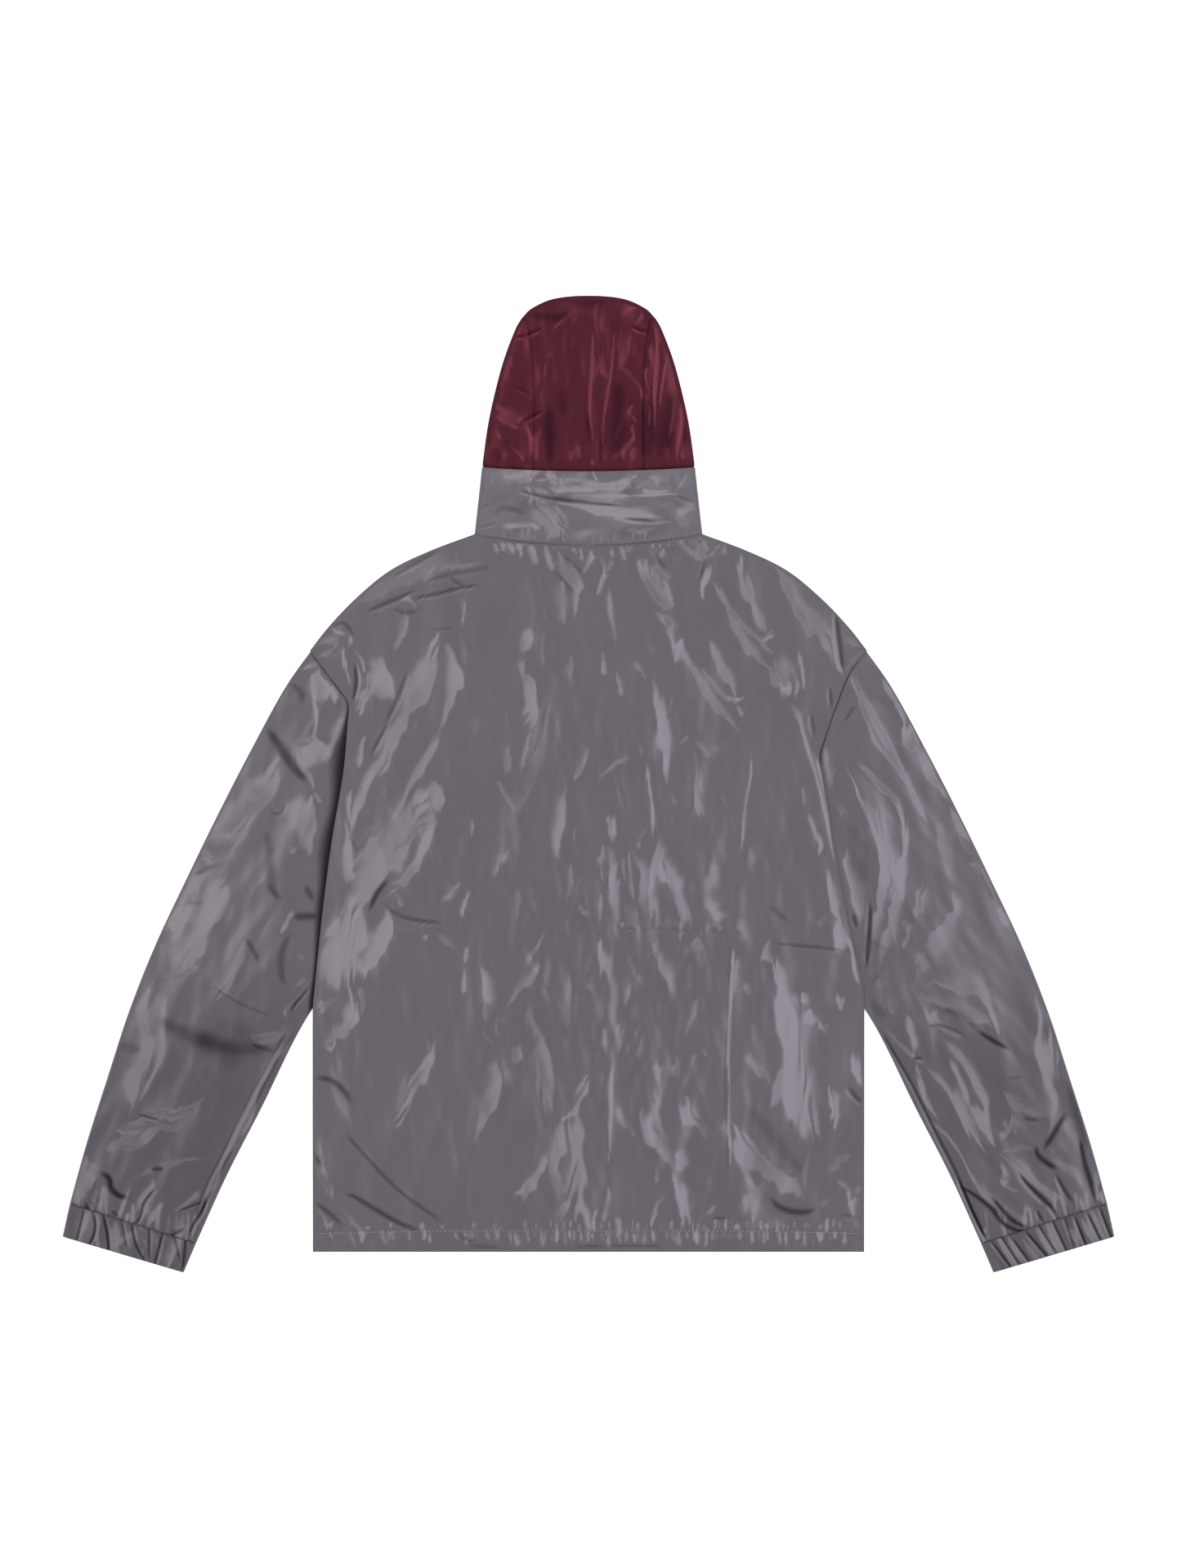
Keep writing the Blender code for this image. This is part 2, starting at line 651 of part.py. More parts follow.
def build_hood_side(group, side):
    """Side of the hood: from the seam out to the fold, and under to the edge of the face opening."""
    rows, upper, arc, under = 12, 6, 4, 4
    outline_rows = HOOD_SIDE[:-1] + [Edge(HOOD_SIDE[-1].out + HOOD_JOIN, HOOD_SIDE[-1].up - HOOD_JOIN)]
    seam_rows = [Edge(row.out + 0.0004, row.up) for row in HOOD_SEAM[:-1]]
    seam_rows.append(Edge(HOOD_SEAM[-1].out + 0.0004, HOOD_SEAM[-1].up - 2 * HOOD_JOIN))
    face_rows = FACE_SIDE[:-1] + [Edge(FACE_SIDE[-1].out + HOOD_JOIN, FACE_SIDE[-1].up - HOOD_JOIN)]
    outline, seam, face = through(outline_rows), through(seam_rows), through(face_rows)
    columns = [(i / upper, 90.0) for i in range(upper)]
    columns += [(1.0, 90 - 180 * i / arc) for i in range(arc)]
    columns += [(1 - i / under, -90.0) for i in range(under + 1)]

    def place(column, row):
        along = row / rows
        across, angle = columns[column]
        way, radius, fold_line = hood_fold(outline(along), face(along))
        start = face(along) if angle == -90.0 else seam(along)
        flat = blend(start, fold_line, across)
        x, y, z = hood_point(flat, way, radius, angle, 1 - across)
        return (side * x, y, z)

    name = "hood_left" if side < 0 else "hood_right"
    cloth(name, len(columns) - 1, rows, place, "hood_satin", group)


def build_hood_centre(group):
    """Centre of the hood: from the collar up to the dome, and under to the forehead's edge."""
    columns, upper, arc, under = 12, 14, 4, 4
    seam, dome = through(HOOD_SEAM), through(HOOD_DOME + [Edge(-e.out, e.up) for e in HOOD_DOME[-2::-1]])
    corner = FACE_SIDE[-1]
    rows = [(i / upper, 90.0) for i in range(upper)]
    rows += [(1.0, 90 - 180 * i / arc) for i in range(arc)]
    rows += [(1 - i / under, -90.0) for i in range(under + 1)]

    def tuck(u):
        return ((2 * u - 1) * HOOD_SEAM[0].out, HOOD_TUCK_Y)

    def fold_at(u):
        lean = 2 * u - 1
        forehead = (lean * corner.out, FACE_TOP_MIDDLE_Y + (corner.up - FACE_TOP_MIDDLE_Y) * lean * lean)
        return *hood_fold(dome(1 - u), forehead), forehead

    def brow(u):
        """Line between the upper ends of the two seams, a little below the fold."""
        x, y = fold_at(u)[2]
        lean = 2 * u - 1
        corner_x = fold_at(1)[2][0]
        return (x * seam(1)[0] / corner_x, y - HOOD_BROW * (1 - lean * lean))

    def place(column, row):
        u = column / columns
        share, angle = rows[row]
        way, radius, fold_line, forehead = fold_at(u)
        if angle == -90.0:
            flat = blend(forehead, fold_line, share)
        elif share < 1:
            flat = patch(u, row / (upper - 1), tuck, brow, mirrored(seam, -1), seam)
        else:
            flat = fold_line
        return hood_point(flat, way, radius, angle, 1 - share)

    cloth("hood_centre", columns, len(rows) - 1, place, "hood_satin", group)


def build_tape(group, side):
    """Zip tape: a strip on the inside of the front, which rises with the collar at the slider."""
    bottom = HEM_Y + HEM_DEPTH + 2 * TAPE_END
    below = [bottom + (NECK_FRONT_Y - bottom) * i / 4 for i in range(4)]
    beside_collar = [front_of_collar_y(i / COLLAR_ROWS) for i in range(COLLAR_ROWS)]
    stations = below + beside_collar + [front_of_collar_y(1) - TAPE_END]

    def place(column, row):
        out = TAPE_IN + (TAPE_OUT - TAPE_IN) * column
        y = stations[row]
        return (side * out, y, LAP + zip_lift(TAPE_IN, y))

    name = "zip_tape_left" if side < 0 else "zip_tape_right"
    strip = cloth(name, 1, len(stations) - 1, place, "zip_tape", group, True)
    strip.modifiers["Wall"].thickness = TAPE_CLOTH
    strip.data.shade_flat()


def block(name, size, centre, group, finish=None):
    """Box of a size round a centre."""
    bm = bmesh.new()
    bmesh.ops.create_cube(bm, size=1.0)
    for vertex in bm.verts:
        vertex.co = tuple(c + p * s for c, p, s in zip(centre, vertex.co, size))
    return new_object(name, bm, group, finish)


def bar(name, radius, length, centre, axis, group, finish=None):
    """Round bar along X or Z, round a centre."""
    bm = bmesh.new()
    bmesh.ops.create_cone(
        bm, cap_ends=True, segments=16, radius1=radius, radius2=radius, depth=length
    )
    for vertex in bm.verts:
        x, y, z = vertex.co
        turned = (z, y, -x) if axis == "X" else (x, y, z)
        vertex.co = tuple(c + p for c, p in zip(centre, turned))
    return new_object(name, bm, group, finish)


def combine(target, helpers, operation):
    """Joins helpers to the target or cuts them from it."""
    for helper in helpers:
        helper.hide_render = True
        helper.display_type = "WIRE"
        change = target.modifiers.new(helper.name, "BOOLEAN")
        change.operation = operation
        change.object = helper


def build_zip_pull(group, helpers):
    """Slider round the two tapes, with a pin between two ears, and the pull tab that swings on it."""
    wide, long, thick = SLIDER_SIZE
    tape_low = LAP + ZIP_LIFT
    low_plate = tape_low - SEAM - thick / 2
    high_plate = tape_low + TAPE_CLOTH + SEAM + thick / 2
    pin_z = low_plate - thick / 2 - PIN_DROP
    slider = block("zip_slider", SLIDER_SIZE, (0, SLIDER_Y, low_plate), group, "zip_metal")
    post = (SLIDER_POST[0], SLIDER_POST[1], high_plate - low_plate)
    joined = [
        block("slider_top", SLIDER_SIZE, (0, SLIDER_Y, high_plate), helpers),
        block("slider_post", post, (0, SLIDER_Y, (low_plate + high_plate) / 2), helpers),
    ]
    ear_thick, ear_long = EAR_SIZE
    ear_low = pin_z - EAR_BELOW_PIN
    for side in (-1, 1):
        size = (ear_thick, ear_long, low_plate - ear_low)
        centre = (side * (EAR_IN + ear_thick / 2), SLIDER_Y, (low_plate + ear_low) / 2)
        joined.append(block(f"slider_ear_{side}", size, centre, helpers))
    pin_length = 2 * EAR_IN + ear_thick
    joined.append(bar("slider_pin", PIN_RADIUS, pin_length, (0, SLIDER_Y, pin_z), "X", helpers))
    combine(slider, joined, "UNION")

    tab_wide, tab_long, tab_thick = TAB_SIZE
    tab_centre = (0, SLIDER_Y - TAB_START - tab_long / 2, pin_z)
    tab = block("zip_pull_tab", TAB_SIZE, tab_centre, group, "zip_metal")
    neck_size = (EYE_WIDTH, TAB_START + 0.001, tab_thick)
    neck_centre = (0, SLIDER_Y - neck_size[1] / 2, pin_z)
    eye = bar("tab_eye", EYE_RADIUS, EYE_WIDTH, (0, SLIDER_Y, pin_z), "X", helpers)
    neck = block("tab_neck", neck_size, neck_centre, helpers)
    combine(tab, [eye, neck], "UNION")
    bore = bar("tab_bore", EYE_BORE, 2 * EYE_WIDTH, (0, SLIDER_Y, pin_z), "X", helpers)
    hole_y = SLIDER_Y - TAB_START - tab_long + tab_wide / 2
    hole = bar("tab_hole", TAB_HOLE, 4 * tab_thick, (0, hole_y, pin_z), "Z", helpers)
    combine(tab, [bore, hole], "DIFFERENCE")


def main():
    """Builds every piece into one collection, and the zip's helpers into another."""
    for old in list(bpy.data.objects):
        bpy.data.objects.remove(old)
    garment = collection("hooded_windbreaker")
    helpers = collection("helpers")
    build_back(garment)
    build_collar(garment)
    build_hood_centre(garment)
    for side in (-1, 1):
        build_front(garment, side)
        build_sleeve(garment, side)
        build_cuff(garment, side)
        build_hood_side(garment, side)
        build_tape(garment, side)
    build_zip_pull(garment, helpers)


main()
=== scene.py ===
"""Looks of a hooded windbreaker laid out flat, face down, on a pale floor.

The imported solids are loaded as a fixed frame. Every cloth piece is then laid over its solid as a
thin shell with its own creases, and the zip keeps its solids with a metal finish.

Frame: metres, +Z up, +Y from the hem to the hood, +X to the wearer's right sleeve. The tables of
outlines and creases are in millimetres, in the same axes.
"""

import logging
import math
from dataclasses import dataclass
from enum import Enum
from typing import Any, ClassVar, Sequence

import bpy
import numpy as np
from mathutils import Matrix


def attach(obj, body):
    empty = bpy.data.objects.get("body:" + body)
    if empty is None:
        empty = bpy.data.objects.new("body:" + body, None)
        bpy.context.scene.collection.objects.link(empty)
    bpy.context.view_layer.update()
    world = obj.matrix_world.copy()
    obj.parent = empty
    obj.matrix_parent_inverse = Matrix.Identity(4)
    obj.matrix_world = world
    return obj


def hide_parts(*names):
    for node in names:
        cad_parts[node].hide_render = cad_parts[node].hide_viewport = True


Array = np.ndarray

log = logging.getLogger("windbreaker")
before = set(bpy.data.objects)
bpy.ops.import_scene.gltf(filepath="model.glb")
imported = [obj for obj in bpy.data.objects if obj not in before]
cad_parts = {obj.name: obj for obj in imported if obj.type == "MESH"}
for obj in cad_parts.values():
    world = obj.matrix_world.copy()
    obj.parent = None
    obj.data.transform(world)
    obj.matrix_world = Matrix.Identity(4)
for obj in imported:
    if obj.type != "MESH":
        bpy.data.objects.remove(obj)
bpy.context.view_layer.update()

MM = 0.001
GARMENT = "garment"
FLOOR_GAP = 0.15  # undersides lie this far above the floor, mm


class Side(Enum):
    """Side of the wearer."""

    LEFT = -1
    RIGHT = 1

    @property
    def word(self) -> str:
        """The side's name, as node names spell it."""
        return self.name.lower()


def smooth(low: float, high: float, value: Any) -> Any:
    """0 below low, 1 above high and an even S between them."""
    share = np.clip((value - low) / (high - low), 0.0, 1.0)
    return share * share * (3 - 2 * share)


def lerp(a: Any, b: Any, share: Any) -> Any:
    """The value that share of the way from a to b."""
    return a + (b - a) * share


class Path:
    """Smooth plan curve through a few rows, as a function of the share of its length."""

    def __init__(self, rows: Sequence[tuple[float, float]]) -> None:
        """Keeps the rows, the length along their chords and a slope at each row.

        Args:
            rows: (x, y) pairs in millimetres.
        """
        self.rows = np.array(rows, dtype=float)
        steps = np.linalg.norm(np.diff(self.rows, axis=0), axis=1)
        self.along = np.concatenate([[0.0], np.cumsum(steps)])
        before = np.clip(np.arange(len(rows)) - 1, 0, None)
        after = np.clip(np.arange(len(rows)) + 1, None, len(rows) - 1)
        span = (self.along[after] - self.along[before])[:, None]
        self.slopes = (self.rows[after] - self.rows[before]) / span

    def at(self, share: Any) -> Array:
        """Points of the curve: on each stretch, the cubic with the rows' places and slopes.

        Args:
            share: shares of the curve's length, an array of any shape.

        Returns:
            The points, with one more axis of 2.
        """
        reach = np.clip(np.asarray(share, dtype=float), 0, 1) * self.along[-1]
        index = np.clip(np.searchsorted(self.along, reach, side="right") - 1, 0, len(self.rows) - 2)
        span = self.along[index + 1] - self.along[index]
        s = ((reach - self.along[index]) / span)[..., None]
        span = span[..., None]
        start, end = self.rows[index], self.rows[index + 1]
        lean = (1 - s) * self.slopes[index] - s * self.slopes[index + 1]
        ends = (1 + 2 * s) * (1 - s) ** 2 * start + s * s * (3 - 2 * s) * end
        return ends + s * (1 - s) * lean * span

    def straight(self, share: Any) -> Array:
        """Points of the chords between the rows, at shares of their length."""
        reach = np.asarray(share, dtype=float) * self.along[-1]
        return np.stack([np.interp(reach, self.along, self.rows[:, axis]) for axis in (0, 1)], axis=-1)


def patch(u: Array, v: Array, south: Array, north: Array, west: Array, east: Array) -> Array:
    """Surface between four edges: both pairs of edges blended, less the blend of the corners.

    Args:
        u, v: shares across and along, arrays that broadcast together.
        south, north: points of the edges that run with u.
        west, east: points of the edges that run with v.

    Returns:
        Points, with a last axis of 2.
    """
    u, v = u[..., None], v[..., None]
    first, last = (0, 0), (-1, -1)
    corners = (1 - u) * (1 - v) * south[first] + u * (1 - v) * south[last][None]
    corners = corners + (1 - u) * v * north[first] + u * v * north[last][None]
    return (1 - v) * south + v * north + (1 - u) * west + u * east - corners


class Facing(Enum):
    """Way that the steep face of a crease looks."""

    W = (-1.0, 0.0)
    E = (1.0, 0.0)
    N = (0.0, 1.0)


def wander(across: Array, along: Array, seed: int) -> Array:
    """Smooth uneven field in streaks: the sum of sixteen seeded waves, 8 to 60 mm long.

    Args:
        across, along: places across and along the streaks, in millimetres.
        seed: seed of the waves.

    Returns:
        The field, about -2 to 2.
    """
    waves, shortest, longest, slants = 16, 8.0, 60.0, 0.3
    rng = np.random.default_rng(seed)
    made = np.zeros_like(across)
    total = 0.0
    for _ in range(waves):
        length = shortest * (longest / shortest) ** rng.uniform()
        slant, phase = rng.normal(0, slants), rng.uniform(0, 2 * math.pi)
        made += length**0.5 * np.sin(2 * math.pi / length * (across + slant * along) + phase)
        total += length / 2
    return made / math.sqrt(total)


@dataclass
class Relief:
    """What creases do to cloth at each place.

    height is in millimetres, tilt the slope by which the cloth's face leans towards +X and +Y, and
    shade the painted shade of a place deep in a fold, from 0 to 1, which darkens its colour. drift
    is the uneven field, in two parts, along which the outlines of the creases wander.
    """

    height: Array
    tilt: Array
    shade: Array
    drift: Array
    seeds: ClassVar[tuple[int, int]] = (5, 6)
    weft: ClassVar[float] = 0.3  # slope along the streaks, as a share of that across them
    nap_height: ClassVar[float] = 2.0  # mm for a slope of 1

    @classmethod
    def of(cls, lines: Sequence[Any], x: Array, y: Array, nap: Any, turn: float = 0.0) -> "Relief":
        """Sum of creases over a faintly uneven cloth.

        Args:
            lines: creases and grooves.
            x, y: places on the plan, in millimetres.
            nap: slope of the unevenness.
            turn: direction of its streaks, in degrees from +Y to +X.

        Returns:
            The relief.
        """
        cos, sin = math.cos(math.radians(turn)), math.sin(math.radians(turn))
        across, along = x * cos - y * sin, x * sin + y * cos
        warp, second = (wander(across, along, seed) for seed in cls.seeds)
        weft = cls.weft * second
        tilt = np.stack([warp * cos + weft * sin, weft * cos - warp * sin], axis=-1)
        nap = np.broadcast_to(nap, x.shape)
        drift = np.stack([warp, second], axis=-1)
        made = cls(cls.nap_height * nap * second, nap[..., None] * tilt, np.zeros_like(x), drift)
        for line in lines:
            line.press(made, x, y)
        return made

    def held(self, share: Array) -> "Relief":
        """The same creases, weakened to a share at each place."""
        return Relief(self.height * share, self.tilt * share[..., None], self.shade * share, self.drift)


@dataclass(frozen=True)
class Line:
    """Smooth line on the plan: x and y of each of its points in turn, in millimetres."""

    points: tuple[float, ...]
    station: ClassVar[float] = 2.5  # between stations along the line, mm

    def run(self) -> Array:
        """From the line's first point to its last."""
        return np.subtract(self.points[-2:], self.points[:2])

    def beside(self, x: Array, y: Array, reach: float) -> tuple[Array, Array, Array, Array]:
        """Where places lie beside the line.

        Args:
            x, y: places in millimetres.
            reach: how far from the line places still matter.

        Returns:
            Which places are near; and for each of those the share of the line's length, the
            distance to the left of its run and the direction to its left, all measured from the
            nearest of many stations along the line.
        """
        path = Path(np.array(self.points, dtype=float).reshape(-1, 2))
        count = max(8, int(path.along[-1] / self.station))
        stations = path.at(np.linspace(0, 1, count))
        way = np.gradient(stations, axis=0)
        way /= np.linalg.norm(way, axis=1, keepdims=True)
        low, high = stations.min(axis=0) - reach, stations.max(axis=0) + reach
        near = (x > low[0]) & (x < high[0]) & (y > low[1]) & (y < high[1])
        gap = np.stack([x[near], y[near]], axis=-1)[:, None] - stations
        index = np.argmin((gap**2).sum(axis=-1), axis=1)
        gap = gap[np.arange(index.size), index]
        way = way[index]
        step = path.along[-1] / (count - 1)
        share = (index + (gap * way).sum(axis=1) / step) / (count - 1)
        left = np.stack([-way[:, 1], way[:, 0]], axis=-1)
        return near, share, (gap * left).sum(axis=1), left


def streaks(along: Array, across: Array, phase: float) -> Array:
    """Uneven streaks that run along a line, from about -1 to 1.

    They are the sum of six waves, each much shorter across the line than along it.

    Args:
        along, across: places beside the line, in millimetres.
        phase: where the waves start.

    Returns:
        The streaks at those places.
    """
    wave = np.arange(6)[:, None]
    across_rate = 0.28 + 0.16 * wave
    along_rate = 0.03 + 0.017 * ((5 * wave) % 6)
    bend = 1.3 * np.sin(0.05 * along + phase)
    waves = np.sin(across_rate * across + along_rate * along + bend + phase * (wave + 1))
    return waves.sum(axis=0) / 2.6


@dataclass(frozen=True)
class Crease(Line):
    """Fold whose sloping face catches the light.

    The line is the middle of the face. width is the face's width, lean its slope, facing the way
    it looks. The face has a sharp crest behind it and eases off before it.
    """

    facing: Facing
    width: float
    lean: float
    relief: ClassVar[float] = 0.55  # height of the face, as a share of its lean times its width
    ends: ClassVar[float] = 0.28  # share of the length over which each end fades
    fray: ClassVar[float] = 0.09  # how far streaks move the ends, as a share of the length
    sway: ClassVar[tuple[float, float]] = (0.2, 2.2)  # of the outline: per mm of width, and at most
    ease: ClassVar[float] = 14.0  # beyond the face its height eases off over this and its width, mm

    def press(self, cloth: Relief, x: Array, y: Array) -> None:
        """Adds the crease: its lean is greatest at the crest and falls off down the face.

        Args:
            cloth: what is added to.
            x, y: places in millimetres.
        """
        sway = min(self.sway[1], self.sway[0] * self.width)
        x, y = x + sway * cloth.drift[..., 0], y + sway * cloth.drift[..., 1]
        near, share, off, left = self.beside(x, y, 3 * self.width + 16)
        run = self.run()
        sign = np.sign(np.dot((-run[1], run[0]), self.facing.value))
        inner = np.clip(share, 0, 1)
        phase = 0.37 * self.points[0] + 0.21 * self.points[1]
        silk = streaks(share * np.hypot(*run), off, phase)
        swell = 1 + 0.25 * np.sin(7 * inner + phase) + 0.12 * np.sin(19 * inner + 2 * phase)
        width = np.maximum(1.25 * self.width * np.sin(np.pi * inner) ** 0.6 * swell, 1.0)
        fray = self.fray * silk
        along = smooth(0.0, self.ends, share + fray) * smooth(0.0, self.ends, 1 - share + fray)
        along = along * (np.abs(share - 0.5) < 0.53)
        q = off * sign / width
        crest = np.exp(-(((q + 0.4) * width / 2.0) ** 2))
        face = smooth(-0.62, -0.42, q) * (1 - 0.2 * smooth(-0.4, 0.2, q)) * (1 - smooth(0.0, 0.95, q))
        shimmer = 1 + (0.12 + 0.34 * smooth(-0.4, 0.3, q)) * silk
        halo = 0.12 * np.exp(-((q / 1.4) ** 2))
        lean = self.lean * along * (face * shimmer + 0.2 * crest + halo)
        cloth.tilt[near] += lean[:, None] * left * sign
        ease = 1 - smooth(0, 1, (np.abs(q) - 0.5) * width / (self.ease + width))
        step = 0.5 - smooth(-0.5, 0.5, q)
        cloth.height[near] += self.relief * self.lean * width * along * step * ease


@dataclass(frozen=True)
class Groove(Line):
    """Narrow trough between two folds, where shade gathers. width is its half width."""

    width: float
    depth: float
    relief: ClassVar[float] = 0.35  # share of the depth that is in the mesh
    lean: ClassVar[float] = 0.21  # slope that leads into a narrow groove
    fade: ClassVar[float] = 13.0  # length of the fading ends, mm
    widest_edged: ClassVar[float] = 3.8  # half width from which no slope leads in

    def press(self, cloth: Relief, x: Array, y: Array) -> None:
        """Adds the groove, and on a narrow one the slope that leads in from the garment's middle.

        Args:
            cloth: what is added to.
            x, y: places in millimetres.
        """
        near, share, off, left = self.beside(x, y, 3 * self.width + 4)
        inner = np.clip(share, 0, 1)
        fade = min(0.25, self.fade / np.hypot(*self.run()))
        along = smooth(0, fade, share) * smooth(0, fade, 1 - share)
        width = np.maximum(self.width * (0.3 + 0.4 * np.sin(np.pi * inner)), 1.4)
        bell = along * np.exp(-(np.abs(off / width) ** 2.6))
        cloth.height[near] -= self.relief * self.depth * bell
        # painted shade: the groove darkens the colour through the shade attribute
        cloth.shade[near] += min(0.75, self.depth / 4) * bell
        if self.width < self.widest_edged:
            sign = np.sign(left @ np.array([np.sign(self.points[0]), 0.6]))
            slope = np.exp(-(((off * sign + 1.8 * width) / (0.4 * width + 0.8)) ** 2))
            lean = self.lean * min(1.0, self.depth / 2.4) * along * slope
            cloth.tilt[near] += (lean * sign)[:, None] * left


@dataclass(frozen=True)
class Puckers:
    """Row of short creases along a seam, uneven in length, lean and spacing.

    The seam runs from (x0, y0) to (x1, y1) and sags by sag in its middle. reach is the shortest and
    the longest crease, and slant their sideways run for each millimetre of reach.
    """

    x0: float
    y0: float
    x1: float
    y1: float
    count: int
    reach: tuple[float, float]
    slant: float
    width: float
    lean: float
    seed: int
    sag: float = 0.0

    def creases(self) -> list[Crease]:
        """Short creases that leave the seam towards -Y (a negative reach leaves towards +Y)."""
        rng = np.random.default_rng(self.seed)
        places = (np.arange(self.count) + rng.uniform(-0.42, 0.42, self.count) + 0.5) / self.count
        made = []
        for share in places:
            x = lerp(self.x0, self.x1, share)
            y = lerp(self.y0, self.y1, share) - self.sag * 4 * share * (1 - share)
            reach = lerp(*self.reach, rng.uniform() ** 1.8)
            slant = self.slant * abs(reach) * rng.uniform(-0.3, 1.4)
            lean = self.lean * rng.uniform(0.35, 1.15)
            width = self.width * rng.uniform(0.7, 1.3)
            points = (x, y + 0.25 * reach, x + slant, y - reach)
            made.append(Crease(points, Facing.W if rng.uniform() < 0.5 else Facing.E, width, lean))
        return made


@dataclass(frozen=True)
class Crumple:
    """Faint creases that handling leaves all over a piece of cloth.

    low and high are corners of the area where they start. length, lean and width are ranges.
    """

    low: tuple[float, float]
    high: tuple[float, float]
    count: int
    heading: float
    seed: int
    length: tuple[float, float]
    lean: tuple[float, float]
    width: tuple[float, float]

    def creases(self) -> list[Crease]:
        """Creases at seeded places, most of them near the heading, in degrees from +Y."""
        rng = np.random.default_rng(self.seed)
        made = []
        for _ in range(self.count):
            x, y = rng.uniform(self.low, self.high)
            turn = math.radians(self.heading + rng.normal(0, 15))
            reach = lerp(*self.length, rng.uniform() ** 1.5)
            sway = rng.uniform(-0.12, 0.12) * reach
            dx, dy = reach * math.sin(turn), reach * math.cos(turn)
            points = (x, y, x + dx / 2 + sway, y + dy / 2, x + dx, y + dy)
            lean = lerp(*self.lean, rng.uniform() ** 2)
            facing = Facing.W if rng.uniform() < 0.5 else Facing.E
            made.append(Crease(points, facing, rng.uniform(*self.width), lean))
        return made


def every(rows: Sequence[Any]) -> list[Crease]:
    """The creases of several seeded rows."""
    return [crease for row in rows for crease in row.creases()]


TABLE_LEAN = 0.28  # lean in the tables that is drawn as DRAWN_LEAN
DRAWN_LEAN = 0.31
LEAN_POWER = 1.35  # fainter creases are drawn fainter still


def table(text: str) -> list[list[str]]:
    """Words of each row of a table."""
    return [line.split() for line in text.strip().splitlines()]


def creases(text: str) -> list[Any]:
    """A table's creases: facing, width, lean, and the x and y of each point."""
    made = []
    for facing, width, lean, *points in table(text):
        drawn = DRAWN_LEAN * (float(lean) / TABLE_LEAN) ** LEAN_POWER
        made.append(Crease(tuple(map(float, points)), Facing[facing], float(width), drawn))
    return made


def grooves(text: str) -> list[Any]:
    """A table's grooves: half width, depth, and the x and y of each point."""
    rows = table(text)
    return [Groove(tuple(map(float, row[2:])), float(row[0]), float(row[1])) for row in rows]


@dataclass
class Surface:
    """Grid of points of a piece of cloth.

    points has a row for each station along the piece and a column for each station across it, in
    millimetres, and base the same points before creasing. shade is how far each point's colour is
    darkened, from 0 to 1: painted shade in folds and beside other pieces, and dark seams. tilt is how
    its face leans there. wraps is set where the last column joins the first, and down where the
    cloth's right side looks at the floor.
    """

    points: Array
    base: Array
    shade: Array
    tilt: Array
    wraps: bool = False
    down: bool = False
    steepest: ClassVar[float] = 0.4

    def normals(self) -> Array:
        """Unit normals of the points: those of the uncreased base, leant by the creases' tilt."""
        wide = np.pad(self.base, ((0, 0), (1, 1), (0, 0)), mode="wrap")
        if not self.wraps:
            wide[:, 0] = 2 * self.base[:, 0] - self.base[:, 1]
            wide[:, -1] = 2 * self.base[:, -1] - self.base[:, -2]
        made = np.cross(wide[:, 2:] - wide[:, :-2], np.gradient(self.base, axis=0))
        made /= np.maximum(np.linalg.norm(made, axis=-1, keepdims=True), 1e-9)
        top = np.unravel_index(np.argmax(self.points[..., 2]), self.points.shape[:2])
        made *= np.sign(made[top][2]) * (-1 if self.down else 1)
        steep = np.linalg.norm(self.tilt, axis=-1, keepdims=True) / self.steepest
        made[..., :2] += self.tilt * np.tanh(steep) / np.maximum(steep, 1e-6)
        return made / np.linalg.norm(made, axis=-1, keepdims=True)

    def lengths(self) -> Array:
        """Distance of each point along its row and along its column, in millimetres."""
        across = np.linalg.norm(np.diff(self.points, axis=1), axis=2)
        along = np.linalg.norm(np.diff(self.points, axis=0), axis=2)
        u = np.pad(np.cumsum(across, axis=1), ((0, 0), (1, 0)))
        v = np.pad(np.cumsum(along, axis=0), ((1, 0), (0, 0)))
        return np.stack([u - u.mean(axis=1, keepdims=True), v], axis=-1)

    def quads(self) -> Array:
        """Corner indices of the grid's faces, counted row by row."""
        rows, columns = self.points.shape[:2]
        index = np.arange(rows * columns).reshape(rows, columns)
        right = np.roll(index, -1, axis=1)
        last = columns if self.wraps else columns - 1
        corners = [index[:-1, :last], right[:-1, :last], right[1:, :last], index[1:, :last]]
        return np.stack(corners, axis=-1).reshape(-1, 4)

    def mesh(self, name: str) -> bpy.types.Mesh:
        """Mesh of the grid, with lengths as UV map, painted shade as an attribute and its normals.

        Args:
            name: name of the mesh.

        Returns:
            A smooth-shaded mesh whose highest face looks up.
        """
        points = self.points.reshape(-1, 3) * MM
        quads = self.quads()
        corners = points[quads]
        normals = np.cross(corners[:, 2] - corners[:, 0], corners[:, 3] - corners[:, 1])
        if (normals[np.argmax(corners[..., 2].mean(axis=1)), 2] < 0) != self.down:
            quads = quads[:, ::-1]
        mesh = bpy.data.meshes.new(name)
        mesh.vertices.add(len(points))
        mesh.vertices.foreach_set("co", points.ravel())
        mesh.loops.add(quads.size)
        mesh.loops.foreach_set("vertex_index", quads.ravel().astype(np.int32))
        mesh.polygons.add(len(quads))
        mesh.polygons.foreach_set("loop_start", np.arange(0, quads.size, 4, dtype=np.int32))
        mesh.update(calc_edges=True)
        lengths = (self.lengths().reshape(-1, 2) * MM)[quads.ravel()]
        mesh.uv_layers.new(name="cloth").data.foreach_set("uv", lengths.ravel())
        shade = mesh.attributes.new("shade", "FLOAT", "POINT")
        shade.data.foreach_set("value", np.clip(self.shade, 0, 1).ravel())
        mesh.shade_smooth()
        mesh.normals_split_custom_set_from_vertices(self.normals().reshape(-1, 3))
        return mesh


